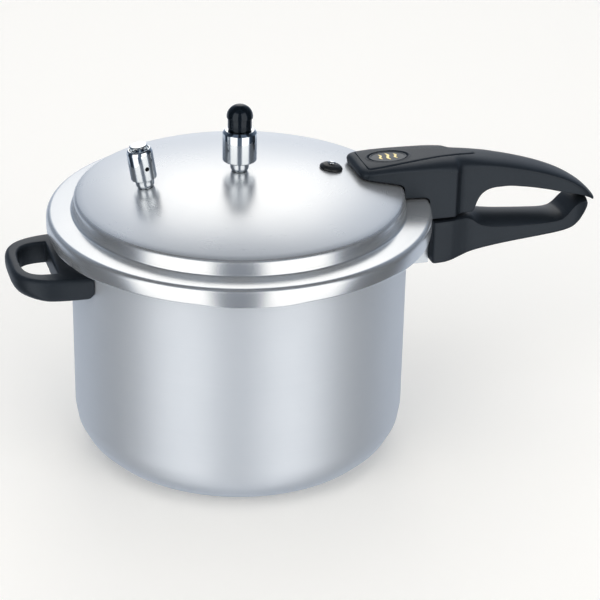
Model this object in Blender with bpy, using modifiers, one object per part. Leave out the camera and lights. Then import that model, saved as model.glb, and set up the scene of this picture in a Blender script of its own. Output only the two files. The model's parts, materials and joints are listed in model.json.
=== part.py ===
"""Pressure canner with an outside bayonet lid. Metres, +Z up.

The origin is the centre of the pot's base, and both handles lie along X, the long pair at +X.
"""

from math import asin, cos, pi, radians, sin, sqrt

import bmesh
import bpy
from mathutils import Matrix, Vector

# Driving dimensions.
BIG_STEPS = 48
SMALL_STEPS = 16
GAP = 0.0003
BORE_GAP = 0.0004

POT_RADIUS = 0.1200
POT_WALL = 0.0030
POT_CORNER = 0.0330
RIM_TOP = 0.1750
LUG_THICKNESS = 0.0033
LUG_RADIUS = 0.1315
RIM_RADIUS = 0.1250
LUG_COUNT = 6
LUG_SPAN = radians(28)
FIRST_LUG = radians(20)

DOME_RADIUS = 0.4300
DOME_TOP = 0.2092
DOME_EDGE = 0.1147
LID_WALL = 0.0022
LID_RADIUS = 0.1368
ROLL_RADIUS = 0.0037
BAND_SLOPE = radians(84)
BAND_LENGTH = 0.0060
GROOVE_RADIUS = 0.0020
RING_SLOPE = radians(3)
EDGE_RADIUS = 0.0038
SKIRT_BOTTOM = 0.1687
TAB_THICKNESS = 0.0027
TAB_INNER = 0.1265
SKIRT_RISE = 0.0013
FITTING_HOLE = 0.0056
STEM_RADIUS = 0.0052

FITTING_OFFSET = 0.0675
RIVET_HOLE = 0.0025
RIVET_RADIUS = 0.0021
LID_RIVET_X = 0.0970
LID_RIVET_Y = 0.0055
LID_SCREW_X = 0.1500
SCREW_RADIUS = 0.0020
SCREW_HOLE = 0.0024

VALVE_TOP = 0.0292
VALVE_CAP_TOP = 0.0322
PORT_HEIGHT = 0.0165

WEIGHT_RADIUS = 0.0121
WEIGHT_BOTTOM = 0.2173
WEIGHT_TOP = 0.2402
KNOB_RADIUS = 0.0088
KNOB_TOP = 0.2588

HANDLE_BLOCK = 0.0225
LID_HANDLE_BOTTOM = 0.1655
BRACKET_FACE = 0.1393
BRACKET_HALF = 0.0140
BRACKET_LOW = 0.1280
BRACKET_HIGH = 0.1630
PLATE = 0.0020
RIVET_HEIGHTS = (0.1380, 0.1560)
POT_SCREW_Z = 0.1470

HELPER_LOW = 0.1392
HELPER_HIGH = 0.1574
HELPER_REACH = 0.1670
HELPER_HALF = 0.0420
HELPER_HOLE_ROOT = 0.1360
HELPER_HOLE_REACH = 0.1585
HELPER_HOLE_HALF = 0.0255
HELPER_RIVET_Y = 0.0082
TONGUE_HALF = 0.0042
HELPER_MID_Z = 0.1485
HELPER_SCREW_X = 0.1295

RACK_RADIUS = 0.1040
RACK_Z = 0.0125
RACK_THICKNESS = 0.0016
RACK_FOOT_Z = 0.0036
RACK_FOOT_CIRCLE = 0.0790
RACK_FOOT_RADIUS = 0.0050
RACK_HOLE = 0.0065
RACK_HOLE_RINGS = ((0.0350, 5), (0.0750, 9))

FASTENER_STEPS = 12
RIVET_HEAD_HEIGHT = 0.0016
RIVET_HEAD = 0.0042
SMALL_RIVET_HEAD = 0.0034
STRAP_RIVET_HEAD = 0.0036
SCREW_HEAD_SIDE = 0.0016
SCREW_HEAD_HEIGHT = 0.0024

HELPER_SQUARENESS = 0.62
HELPER_ROOT = 0.1170
HELPER_PLATE_HALF_WIDTH = 0.0120
HELPER_PLATE_HALF_HEIGHT = 0.0060
POCKET_CLEARANCE = 0.0007
GASKET_INNER = 0.1212
GASKET_OUTER = 0.1322
GASKET_HEIGHT = 0.0038
VALVE_RADIUS = 0.0092
VALVE_BORE = 0.0068
VALVE_PORT_ANGLE = radians(-79)
VALVE_PORT_RADIUS = 0.0016
VALVE_NOTCHES = 8
HANDLE_CLEARANCE = 0.0010

# Colour, metallic and roughness of each finish.
FINISHES = {
    "satin_aluminium": ((0.72, 0.75, 0.78), 1.0, 0.32),
    "bright_chrome": ((0.80, 0.82, 0.84), 1.0, 0.08),
    "bakelite": ((0.022, 0.024, 0.027), 0.0, 0.45),
    "gloss_bakelite": ((0.012, 0.013, 0.015), 0.0, 0.15),
    "badge_foil": ((0.05, 0.05, 0.05), 0.3, 0.30),
    "rubber": ((0.015, 0.015, 0.016), 0.0, 0.60),
    "grey_rubber": ((0.25, 0.25, 0.26), 0.0, 0.70),
    "zinc_steel": ((0.60, 0.61, 0.62), 1.0, 0.30),
}


def clear_scene():
    for item in list(bpy.data.objects):
        bpy.data.objects.remove(item, do_unlink=True)


def new_collection(name):
    collection = bpy.data.collections.new(name)
    bpy.context.scene.collection.children.link(collection)
    return collection


def finish(name):
    """The Principled material of one finish, made once."""
    if name in bpy.data.materials:
        return bpy.data.materials[name]
    colour, metallic, roughness = FINISHES[name]
    material = bpy.data.materials.new(name)
    material.use_nodes = True
    shader = material.node_tree.nodes["Principled BSDF"]
    shader.inputs["Base Color"].default_value = (*colour, 1.0)
    shader.inputs["Metallic"].default_value = metallic
    shader.inputs["Roughness"].default_value = roughness
    return material


clear_scene()
PARTS = new_collection("pressure_canner")
CUTTERS = new_collection("cutters")


def add_object(name, mesh, material=None, parent=None):
    """An object for a mesh: a part where it has a material, and a cutter where it has none."""
    piece = bpy.data.objects.new(name, mesh)
    (PARTS if material else CUTTERS).objects.link(piece)
    if material:
        mesh.materials.append(finish(material))
    else:
        piece.hide_render = True
        piece.display_type = "WIRE"
    piece.parent = parent
    return piece


def add_frame(name, location=(0, 0, 0), tilt=0.0):
    """An empty that carries a body. Its tilt leans its axis towards +X."""
    frame = bpy.data.objects.new(name, None)
    PARTS.objects.link(frame)
    frame.empty_display_size = 0.02
    frame.location = location
    frame.rotation_euler = (0, tilt, 0)
    return frame


def turned(name, profile, material=None, closed=False, steps=SMALL_STEPS, parent=None):
    """A profile of (radius, height) points, run down its outer side, turned about the Z axis."""
    mesh = bpy.data.meshes.new(name)
    last = len(profile) - 1
    edges = [(i, i + 1) for i in range(last)]
    if closed:
        edges.append((last, 0))
    mesh.from_pydata([(r, 0.0, z) for r, z in profile], edges, [])
    piece = add_object(name, mesh, material, parent)
    screw = piece.modifiers.new("turn", "SCREW")
    screw.axis = "Z"
    screw.steps = steps
    screw.render_steps = steps
    screw.use_merge_vertices = True
    screw.merge_threshold = 0.00001
    screw.use_smooth_shade = True
    return piece


def flat_prism(name, outline, thickness, matrix, material=None, parent=None, holes=()):
    """A flat outline in its own XY plane, half the thickness each way, placed by a matrix."""
    curve = bpy.data.curves.new(name, "CURVE")
    curve.dimensions = "2D"
    curve.fill_mode = "BOTH"
    curve.extrude = thickness / 2
    for loop in (outline, *holes):
        spline = curve.splines.new("POLY")
        spline.points.add(len(loop) - 1)
        spline.use_cyclic_u = True
        for point, (x, y) in zip(spline.points, loop):
            point.co = (x, y, 0.0, 1.0)
    drawn = bpy.data.objects.new(name + "_outline", curve)
    CUTTERS.objects.link(drawn)
    graph = bpy.context.evaluated_depsgraph_get()
    mesh = bpy.data.meshes.new_from_object(drawn.evaluated_get(graph))
    bpy.data.objects.remove(drawn, do_unlink=True)
    shape = bmesh.new()
    shape.from_mesh(mesh)
    bmesh.ops.remove_doubles(shape, verts=shape.verts, dist=0.00001)
    bmesh.ops.recalc_face_normals(shape, faces=shape.faces)
    shape.to_mesh(mesh)
    shape.free()
    mesh.name = name
    mesh.transform(matrix)
    if matrix.determinant() < 0:
        mesh.flip_normals()
    return add_object(name, mesh, material, parent)


def box(name, low, high, material=None, parent=None):
    """A box between two corners."""
    low, high = Vector(low), Vector(high)
    shape = bmesh.new()
    placed = Matrix.Translation((low + high) / 2) @ Matrix.Diagonal((*(high - low), 1.0))
    bmesh.ops.create_cube(shape, size=1.0, matrix=placed)
    mesh = bpy.data.meshes.new(name)
    shape.to_mesh(mesh)
    shape.free()
    return add_object(name, mesh, material, parent)


def rod(name, radius, start, end, material=None, parent=None, steps=SMALL_STEPS):
    """A cylinder between two points."""
    start, end = Vector(start), Vector(end)
    along = end - start
    shape = bmesh.new()
    turn = along.to_track_quat("Z", "Y").to_matrix().to_4x4()
    placed = Matrix.Translation((start + end) / 2) @ turn
    bmesh.ops.create_cone(shape, cap_ends=True, segments=steps, radius1=radius, radius2=radius,
                          depth=along.length, matrix=placed)
    mesh = bpy.data.meshes.new(name)
    shape.to_mesh(mesh)
    shape.free()
    return add_object(name, mesh, material, parent)


def cut(piece, *cutters):
    for cutter in cutters:
        boolean = piece.modifiers.new(cutter.name, "BOOLEAN")
        boolean.operation = "DIFFERENCE"
        boolean.solver = "EXACT"
        boolean.object = cutter


def arc(centre, radius, start, end, count):
    """Points on an arc between two angles in degrees, both ends included."""
    angles = [radians(start + (end - start) * i / count) for i in range(count + 1)]
    return [(centre[0] + radius * cos(a), centre[1] + radius * sin(a)) for a in angles]


def sector(inner, outer, middle, span):
    """The outline of a ring's sector, about the angle of its middle."""
    low, high = (middle - span / 2) * 180 / pi, (middle + span / 2) * 180 / pi
    return arc((0, 0), outer, low, high, 6) + arc((0, 0), inner, high, low, 6)


def between(points, x):
    """The height at x of the line through the (x, height) points."""
    for (x0, y0), (x1, y1) in zip(points, points[1:]):
        if x <= x1:
            return y0 + (y1 - y0) * (x - x0) / (x1 - x0)
    return points[-1][1]


def section(half, low, high, top_round, bottom_round):
    """A rounded rectangle in the YZ plane, anticlockwise seen from +X."""
    top = min(top_round, half * 0.8, (high - low) * 0.48)
    bottom = min(bottom_round, half * 0.8, (high - low) * 0.48)
    return (
        arc((half - bottom, low + bottom), bottom, -90, 0, 3)
        + arc((half - top, high - top), top, 0, 90, 4)
        + arc((top - half, high - top), top, 90, 180, 4)
        + arc((bottom - half, low + bottom), bottom, 180, 270, 3)
    )


def loft(name, stations, tops, bottoms, halves, top_round, bottom_round, material, parent):
    """A handle drawn through unlike rounded sections along X, closed at both ends."""
    shape = bmesh.new()
    rings = []
    for x in stations:
        low, high, half = between(bottoms, x), between(tops, x), between(halves, x)
        outline = section(half, low, high, top_round, bottom_round)
        rings.append([shape.verts.new((x, y, z)) for y, z in outline])
    for first, second in zip(rings, rings[1:]):
        for i, vert in enumerate(first):
            j = (i + 1) % len(first)
            shape.faces.new((vert, first[j], second[j], second[i]))
    shape.faces.new(rings[0])
    shape.faces.new(rings[-1])
    bmesh.ops.recalc_face_normals(shape, faces=shape.faces)
    mesh = bpy.data.meshes.new(name)
    shape.to_mesh(mesh)
    shape.free()
    mesh.shade_smooth()
    mesh.set_sharp_from_angle(angle=radians(35))
    return add_object(name, mesh, material, parent)


def dome_height(radius):
    """The height of the lid's outer dome at a radius."""
    return DOME_TOP - (DOME_RADIUS - sqrt(DOME_RADIUS**2 - radius**2))


def lid_outline(offset, dome_count=7):
    """The lid's outside from its middle hole to its skirt, moved outwards by an offset."""
    points = []
    start, end = asin(FITTING_HOLE / DOME_RADIUS), asin(DOME_EDGE / DOME_RADIUS)
    for i in range(dome_count + 1):
        slope = start + (end - start) * i / dome_count
        reach = DOME_RADIUS + offset
        points.append((reach * sin(slope), DOME_TOP - DOME_RADIUS + reach * cos(slope)))
    roll = (DOME_EDGE - ROLL_RADIUS * sin(end), dome_height(DOME_EDGE) - ROLL_RADIUS * cos(end))
    slopes = [end + (BAND_SLOPE - end) * i / 3 for i in (1, 2, 3)]
    points += [(roll[0] + (ROLL_RADIUS + offset) * sin(s), roll[1] + (ROLL_RADIUS + offset) * cos(s))
               for s in slopes]
    band_end = (roll[0] + ROLL_RADIUS * sin(BAND_SLOPE) + BAND_LENGTH * cos(BAND_SLOPE),
                roll[1] + ROLL_RADIUS * cos(BAND_SLOPE) - BAND_LENGTH * sin(BAND_SLOPE))
    groove = (band_end[0] + GROOVE_RADIUS * sin(BAND_SLOPE), band_end[1] + GROOVE_RADIUS * cos(BAND_SLOPE))
    slopes = [BAND_SLOPE, (BAND_SLOPE + RING_SLOPE) / 2, RING_SLOPE]
    points += [(groove[0] - (GROOVE_RADIUS - offset) * sin(s), groove[1] - (GROOVE_RADIUS - offset) * cos(s))
               for s in slopes]
    ring_start = (groove[0] - GROOVE_RADIUS * sin(RING_SLOPE), groove[1] - GROOVE_RADIUS * cos(RING_SLOPE))
    edge_x = LID_RADIUS - EDGE_RADIUS
    ring_end_x = edge_x + EDGE_RADIUS * sin(RING_SLOPE)
    ring_end_z = ring_start[1] - (ring_end_x - ring_start[0]) * sin(RING_SLOPE) / cos(RING_SLOPE)
    edge_z = ring_end_z - EDGE_RADIUS * cos(RING_SLOPE)
    slopes = [RING_SLOPE + (pi / 2 - RING_SLOPE) * i / 3 for i in range(4)]
    points += [(edge_x + (EDGE_RADIUS + offset) * sin(s), edge_z + (EDGE_RADIUS + offset) * cos(s))
               for s in slopes]
    return points


def lug_middles(shift=0.0):
    return [FIRST_LUG + shift + 2 * pi * i / LUG_COUNT for i in range(LUG_COUNT)]


def rivet(name, start, along, grip, head, material, parent):
    """A round-headed rivet whose grip starts at a point and runs along a direction."""
    thick = RIVET_HEAD_HEIGHT
    profile = [
        (0.0, grip + thick), (head * 0.6, grip + thick * 0.85), (head, grip + thick * 0.3), (head, grip),
        (RIVET_RADIUS, grip), (RIVET_RADIUS, 0.0), (head, 0.0), (head, -thick * 0.3),
        (head * 0.6, -thick * 0.85), (0.0, -thick),
    ]
    piece = turned(name, profile, material, steps=FASTENER_STEPS, parent=parent)
    piece.location = start
    piece.rotation_euler = Vector(along).to_track_quat("Z", "Y").to_euler()
    return piece


def pan_screw(name, start, along, shank, head, material, parent):
    """A screw whose head lies behind its start point and whose shank runs along a direction."""
    profile = [(0.0, shank), (SCREW_RADIUS * 0.5, shank), (SCREW_RADIUS, shank - 0.001), (SCREW_RADIUS, 0.0),
               (head, 0.0), (head, -SCREW_HEAD_SIDE), (head * 0.7, -SCREW_HEAD_HEIGHT),
               (0.0, -SCREW_HEAD_HEIGHT)]
    piece = turned(name, profile, material, steps=FASTENER_STEPS, parent=parent)
    piece.location = start
    piece.rotation_euler = Vector(along).to_track_quat("Z", "Y").to_euler()
    return piece


def circle(radius, count, centre=(0.0, 0.0)):
    angles = [2 * pi * i / count for i in range(count)]
    return [(centre[0] + radius * cos(a), centre[1] + radius * sin(a)) for a in angles]


def nut(name, low, high, corner, bore, parent):
    """A hexagon nut about its frame's Z axis."""
    placed = Matrix.Translation((0, 0, (low + high) / 2))
    return flat_prism(name, circle(corner, 6), high - low, placed, "bright_chrome", parent,
                      holes=(circle(bore, SMALL_STEPS),))


def make_pot():
    inner = POT_RADIUS - POT_WALL
    corner = POT_RADIUS - POT_CORNER
    profile = [(0.0, POT_WALL)]
    profile += arc((corner, POT_CORNER), POT_CORNER - POT_WALL, -90, 0, 5)
    profile += [(inner, RIM_TOP), (LUG_RADIUS, RIM_TOP), (LUG_RADIUS, RIM_TOP - LUG_THICKNESS),
                (POT_RADIUS, RIM_TOP - LUG_THICKNESS)]
    profile += arc((corner, POT_CORNER), POT_CORNER, 0, -90, 5)
    profile.append((0.0, 0.0))
    pot = turned("pot_body", profile, "satin_aluminium", steps=BIG_STEPS)
    gap_span = 2 * pi / LUG_COUNT - LUG_SPAN
    placed = Matrix.Translation((0, 0, RIM_TOP - LUG_THICKNESS / 2))
    for i, middle in enumerate(lug_middles(pi / LUG_COUNT)):
        outline = sector(RIM_RADIUS, LUG_RADIUS + 0.003, middle, gap_span)
        cut(pot, flat_prism(f"lug_gap_cutter_{i + 1}", outline, LUG_THICKNESS + 0.002, placed))
    for i, z in enumerate(RIVET_HEIGHTS):
        cut(pot, rod(f"pot_rivet_cutter_{i + 1}", RIVET_HOLE, (0.110, 0, z), (0.128, 0, z)))
    for i, y in enumerate((-HELPER_RIVET_Y, HELPER_RIVET_Y)):
        ends = ((-0.110, y, HELPER_MID_Z), (-0.128, y, HELPER_MID_Z))
        cut(pot, rod(f"helper_rivet_cutter_{i + 1}", RIVET_HOLE, *ends))
    return pot


def make_pot_handle():
    wall = POT_RADIUS + GAP
    tube = [(wall, -BRACKET_HALF), (BRACKET_FACE, -BRACKET_HALF), (BRACKET_FACE, BRACKET_HALF),
            (wall, BRACKET_HALF)]
    hollow = [(wall + PLATE, PLATE - BRACKET_HALF), (BRACKET_FACE - PLATE, PLATE - BRACKET_HALF),
              (BRACKET_FACE - PLATE, BRACKET_HALF - PLATE), (wall + PLATE, BRACKET_HALF - PLATE)]
    placed = Matrix.Translation((0, 0, (BRACKET_LOW + BRACKET_HIGH) / 2))
    bracket = flat_prism("pot_handle_bracket", tube, BRACKET_HIGH - BRACKET_LOW, placed, "zinc_steel",
                         holes=(hollow,))
    for i, z in enumerate(RIVET_HEIGHTS):
        cut(bracket, rod(f"bracket_rivet_cutter_{i + 1}", RIVET_HOLE, (0.116, 0, z), (0.126, 0, z)))
        start = (POT_RADIUS - POT_WALL - GAP, 0, z)
        grip = POT_WALL + PLATE + 3 * GAP
        rivet(f"pot_bracket_rivet_{i + 1}", start, (1, 0, 0), grip, RIVET_HEAD, "satin_aluminium", None)
    screw_cutter = rod("pot_screw_cutter", SCREW_HOLE, (0.134, 0, POT_SCREW_Z), (0.1595, 0, POT_SCREW_Z))
    cut(bracket, screw_cutter)
    start = (BRACKET_FACE - PLATE - GAP, 0, POT_SCREW_Z)
    pan_screw("pot_handle_screw", start, (1, 0, 0), 0.0218, 0.0038, "zinc_steel", None)

    tops = [(0.1396, 0.1632), (0.1660, 0.1630), (0.1710, 0.1626), (0.1780, 0.1608), (0.1850, 0.1594),
            (0.1940, 0.1582), (0.2080, 0.1568), (0.2280, 0.1546), (0.2410, 0.1531), (0.2450, 0.1540),
            (0.2500, 0.1582), (0.2545, 0.1620), (0.2590, 0.1636), (0.2630, 0.1638), (0.2665, 0.1615)]
    bottoms = [(0.1396, 0.1305), (0.1440, 0.1294), (0.1500, 0.1294), (0.1580, 0.1306), (0.1660, 0.1324),
               (0.1810, 0.1345), (0.2010, 0.1364), (0.2400, 0.1390), (0.2520, 0.1405), (0.2580, 0.1430),
               (0.2630, 0.1480), (0.2665, 0.1550)]
    halves = [(0.1396, HANDLE_BLOCK), (0.1565, HANDLE_BLOCK), (0.1590, 0.0175), (0.1650, 0.0168),
              (0.2400, 0.0150), (0.2580, 0.0135), (0.2665, 0.0105)]
    stations = sorted({x for x, _ in tops + bottoms + halves})
    grip = loft("pot_handle", stations, tops, bottoms, halves, 0.006, 0.003, "bakelite", None)
    cut(grip, screw_cutter)


def helper_outline(root, reach, half):
    """A D in plan, its straight side at the root and its bow a rounded arc out to the reach."""
    points = []
    count = 14
    for i in range(count + 1):
        angle = -pi / 2 + pi * i / count
        out = abs(cos(angle)) ** HELPER_SQUARENESS * (reach - root)
        side = abs(sin(angle)) ** HELPER_SQUARENESS * half * (1 if angle > 0 else -1)
        points.append((-root - out, side))
    return points


def make_helper_handle():
    wall = POT_RADIUS + GAP
    plate_end = wall + PLATE
    wide, tall = HELPER_PLATE_HALF_WIDTH, HELPER_PLATE_HALF_HEIGHT
    base = box("helper_bracket", (-plate_end, -wide, HELPER_MID_Z - tall),
               (-wall, wide, HELPER_MID_Z + tall), "zinc_steel")
    tongue = box("helper_tongue", (-0.134, -TONGUE_HALF, HELPER_MID_Z - PLATE / 2),
                 (-wall - 0.001, TONGUE_HALF, HELPER_MID_Z + PLATE / 2))
    joined = base.modifiers.new("tongue", "BOOLEAN")
    joined.operation = "UNION"
    joined.solver = "EXACT"
    joined.object = tongue
    for i, side in enumerate((-HELPER_RIVET_Y, HELPER_RIVET_Y)):
        ends = ((-0.116, side, HELPER_MID_Z), (-0.126, side, HELPER_MID_Z))
        cut(base, rod(f"helper_plate_cutter_{i + 1}", RIVET_HOLE, *ends))
        start = (-0.1160, side, HELPER_MID_Z)
        rivet(f"helper_bracket_rivet_{i + 1}", start, (-1, 0, 0), plate_end + GAP - 0.1160, SMALL_RIVET_HEAD,
              "satin_aluminium", None)
    screw_cutter = rod("helper_screw_cutter", SCREW_HOLE, (-HELPER_SCREW_X, 0, 0.136),
                       (-HELPER_SCREW_X, 0, 0.1550))
    cut(base, screw_cutter)
    pan_screw("helper_handle_screw", (-HELPER_SCREW_X, 0, 0.1424), (0, 0, 1), 0.0122, 0.0036,
              "zinc_steel", None)

    outer = helper_outline(HELPER_ROOT, HELPER_REACH, HELPER_HALF)
    hole = helper_outline(HELPER_HOLE_ROOT, HELPER_HOLE_REACH, HELPER_HOLE_HALF)
    placed = Matrix.Translation((0, 0, (HELPER_LOW + HELPER_HIGH) / 2))
    loop = flat_prism("helper_handle", outer, HELPER_HIGH - HELPER_LOW, placed, "bakelite", holes=(hole,))
    ends = ((0, 0, 0.130), (0, 0, 0.166))
    cut(loop, rod("helper_pot_cutter", POT_RADIUS + 2 * GAP, *ends, steps=BIG_STEPS * 2))
    wide, tall = wide + POCKET_CLEARANCE, tall + POCKET_CLEARANCE
    cut(loop, box("helper_pocket_cutter", (-0.1262, -wide, HELPER_MID_Z - tall),
                  (-0.118, wide, HELPER_MID_Z + tall)))
    wide, tall = TONGUE_HALF + BORE_GAP, PLATE / 2 + BORE_GAP
    cut(loop, box("helper_slot_cutter", (-0.1346, -wide, HELPER_MID_Z - tall),
                  (-0.124, wide, HELPER_MID_Z + tall)))
    cut(loop, screw_cutter)
    cut(loop, rod("helper_head_cutter", 0.0042, (-HELPER_SCREW_X, 0, 0.136), (-HELPER_SCREW_X, 0, 0.1428)))


def make_rack():
    """A flat perforated plate on three short feet, loose on the pot's floor."""
    holes = []
    for radius, count in RACK_HOLE_RINGS:
        holes += [circle(RACK_HOLE, 8, middle) for middle in circle(radius, count)]
    placed = Matrix.Translation((0, 0, RACK_Z + RACK_THICKNESS / 2))
    rack = flat_prism("canning_rack", circle(RACK_RADIUS, BIG_STEPS), RACK_THICKNESS, placed,
                      "satin_aluminium", holes=holes)
    for i in range(3):
        angle = 2 * pi * i / 3 + pi / 6
        x, y = RACK_FOOT_CIRCLE * cos(angle), RACK_FOOT_CIRCLE * sin(angle)
        ends = ((x, y, RACK_FOOT_Z), (x, y, RACK_Z + RACK_THICKNESS / 3))
        foot = rod(f"rack_foot_{i + 1}", RACK_FOOT_RADIUS, *ends, steps=10)
        joined = rack.modifiers.new(foot.name, "BOOLEAN")
        joined.operation = "UNION"
        joined.solver = "EXACT"
        joined.object = foot


def make_lid(frame):
    outside = lid_outline(0.0)
    inside = lid_outline(-LID_WALL)
    skirt_inner = LID_RADIUS - LID_WALL
    shelf = SKIRT_BOTTOM + TAB_THICKNESS
    profile = outside + [(LID_RADIUS, SKIRT_BOTTOM), (TAB_INNER, SKIRT_BOTTOM), (TAB_INNER, shelf),
                         (skirt_inner, shelf)]
    profile += reversed(inside)
    lid = turned("lid_shell", profile, "satin_aluminium", closed=True, steps=BIG_STEPS, parent=frame)
    gap_span = 2 * pi / LUG_COUNT - LUG_SPAN
    for i, middle in enumerate(lug_middles(pi / LUG_COUNT)):
        inner_part = sector(TAB_INNER - 0.002, skirt_inner - GAP, middle, gap_span)
        placed = Matrix.Translation((0, 0, SKIRT_BOTTOM + TAB_THICKNESS / 2))
        cut(lid, flat_prism(f"tab_gap_cutter_{i + 1}", inner_part, TAB_THICKNESS + 0.002, placed))
        whole_part = sector(TAB_INNER - 0.003, LID_RADIUS + 0.003, middle, gap_span - radians(2))
        placed = Matrix.Translation((0, 0, SKIRT_BOTTOM))
        cut(lid, flat_prism(f"skirt_cutter_{i + 1}", whole_part, 2 * SKIRT_RISE, placed))
    low, high = RIM_TOP + GAP, RIM_TOP + GASKET_HEIGHT
    gasket = [(GASKET_INNER, high), (GASKET_OUTER, high), (GASKET_OUTER, low), (GASKET_INNER, low)]
    turned("sealing_gasket", gasket, "grey_rubber", closed=True, steps=BIG_STEPS, parent=frame)
    return lid


def make_vent(frame):
    seat = DOME_TOP + GAP
    tube = [(0.0014, 0.2272), (0.0026, 0.2272), (0.0036, 0.2250), (0.0036, 0.2166), (0.0058, 0.2160),
            (0.0063, 0.2150), (0.0063, seat), (STEM_RADIUS, seat), (STEM_RADIUS, seat - 0.0115),
            (0.0014, seat - 0.0115)]
    turned("vent_tube", tube, "bright_chrome", closed=True, parent=frame)
    top = DOME_TOP - LID_WALL - 2 * GAP
    washer = [(FITTING_HOLE, top), (0.0095, top), (0.0095, top - 0.0015), (FITTING_HOLE, top - 0.0015)]
    turned("vent_washer", washer, "rubber", closed=True, parent=frame)
    nut("vent_nut", top - 0.0063, top - 0.0018, 0.0100, STEM_RADIUS + BORE_GAP, frame)


def make_weight():
    frame = add_frame("weight_frame")
    bore = 0.0026
    body = [(bore, WEIGHT_TOP), (WEIGHT_RADIUS - 0.0012, WEIGHT_TOP), (WEIGHT_RADIUS, WEIGHT_TOP - 0.0018),
            (WEIGHT_RADIUS, WEIGHT_BOTTOM + 0.0014), (WEIGHT_RADIUS - 0.0012, WEIGHT_BOTTOM),
            (0.0044, WEIGHT_BOTTOM), (0.0044, 0.2310), (bore, 0.2310)]
    turned("weight_body", body, "bright_chrome", closed=True, steps=24, parent=frame)
    shoulder = KNOB_TOP - 0.0080
    dome = [(KNOB_RADIUS * sin(a), shoulder + 0.0080 * cos(a)) for a in (pi * i / 10 for i in range(5))]
    knob = dome + [(KNOB_RADIUS, shoulder), (KNOB_RADIUS, WEIGHT_TOP + GAP), (0.0022, WEIGHT_TOP + GAP),
                   (0.0022, 0.2363), (0.0, 0.2363)]
    turned("weight_knob", knob, "gloss_bakelite", steps=24, parent=frame)
    needle = [(0.0, 0.2360), (0.0022, 0.2360), (0.0022, 0.2305), (0.0, 0.2279)]
    turned("weight_needle", needle, "zinc_steel", steps=12, parent=frame)


def make_relief_valve(frame):
    bore = VALVE_BORE
    body = [(bore, VALVE_TOP), (0.0085, VALVE_TOP), (VALVE_RADIUS, VALVE_TOP - 0.0009),
            (VALVE_RADIUS, 0.0070), (0.0083, 0.0062), (0.0058, 0.0060), (0.0060, GAP + 0.0001),
            (STEM_RADIUS, GAP + 0.0001), (STEM_RADIUS, -0.0100),
            (0.0020, -0.0100), (0.0020, 0.0050), (bore, 0.0050)]
    valve = turned("relief_valve_body", body, "bright_chrome", closed=True, parent=frame)
    ends = [(reach * cos(VALVE_PORT_ANGLE), reach * sin(VALVE_PORT_ANGLE), PORT_HEIGHT)
            for reach in (0.003, 0.012)]
    cut(valve, rod("port_cutter", VALVE_PORT_RADIUS, *ends, parent=frame, steps=12))
    cap_radius = bore - BORE_GAP
    cap_low = VALVE_TOP - 0.0035
    cap = [(0.0, VALVE_CAP_TOP), (0.0055, VALVE_CAP_TOP), (cap_radius, VALVE_CAP_TOP - 0.0006),
           (cap_radius, cap_low), (0.0, cap_low)]
    cover = turned("relief_valve_cap", cap, "bright_chrome", parent=frame)
    for i in range(VALVE_NOTCHES):
        angle = 2 * pi * (i + 0.5) / VALVE_NOTCHES
        placed = Matrix.Rotation(angle, 4, "Z") @ Matrix.Translation((0.0066, 0, VALVE_CAP_TOP - 0.0010))
        slot = [(-0.0012, -0.0007), (0.002, -0.0007), (0.002, 0.0007), (-0.0012, 0.0007)]
        cut(cover, flat_prism(f"cap_notch_cutter_{i + 1}", slot, 0.0024, placed, parent=frame))
    poppet = [(0.0, 0.0150), (0.0015, 0.0150), (0.0015, 0.0070), (0.0046, 0.0070), (0.0046, 0.0053),
              (0.0, 0.0053)]
    poppet_frame = add_frame("poppet_frame", frame.location, frame.rotation_euler.y)
    turned("relief_poppet", poppet, "zinc_steel", steps=12, parent=poppet_frame)
    make_spring(frame)
    washer = [(FITTING_HOLE, -0.0026), (0.0092, -0.0026), (0.0092, -0.0040), (FITTING_HOLE, -0.0040)]
    turned("relief_valve_washer", washer, "rubber", closed=True, parent=frame)
    nut("relief_valve_nut", -0.0083, -0.0043, 0.0098, STEM_RADIUS + BORE_GAP, frame)


def make_spring(frame):
    """The relief spring: a helix of round wire between the poppet's collar and the cap."""
    wire, radius, turns, per_turn = 0.0005, 0.0032, 5, 10
    low = 0.0070 + GAP + wire
    high = VALVE_TOP - 0.0035 - GAP - wire
    curve = bpy.data.curves.new("relief_spring", "CURVE")
    curve.dimensions = "3D"
    curve.bevel_depth = wire
    curve.bevel_resolution = 2
    curve.use_fill_caps = True
    spline = curve.splines.new("POLY")
    count = turns * per_turn
    spline.points.add(count)
    for i, point in enumerate(spline.points):
        angle = 2 * pi * i / per_turn
        height = low + (high - low) * i / count
        point.co = (radius * cos(angle), radius * sin(angle), height, 1.0)
    spring = bpy.data.objects.new("relief_spring", curve)
    PARTS.objects.link(spring)
    curve.materials.append(finish("zinc_steel"))
    spring.parent = frame


def make_plug(frame):
    bore = 0.0020
    plug = [(bore, 0.0039), (0.0042, 0.0037), (0.0068, 0.0026), (0.0084, 0.0009), (0.0082, GAP + 0.0002),
            (STEM_RADIUS, GAP + 0.0002), (STEM_RADIUS, -0.0026), (0.0072, -0.0027), (0.0066, -0.0050),
            (bore, -0.0055)]
    turned("safety_plug", plug, "rubber", closed=True, parent=frame)
    pin_frame = add_frame("pin_frame", frame.location, frame.rotation_euler.y)
    pin = [(0.0, 0.0056), (0.0020, 0.0053), (0.0028, 0.0047), (0.0028, 0.0043), (0.0016, 0.0043),
           (0.0016, -0.0089), (0.0029, -0.0089), (0.0029, -0.0103), (0.0, -0.0103)]
    turned("indicator_pin", pin, "bright_chrome", steps=12, parent=pin_frame)


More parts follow.
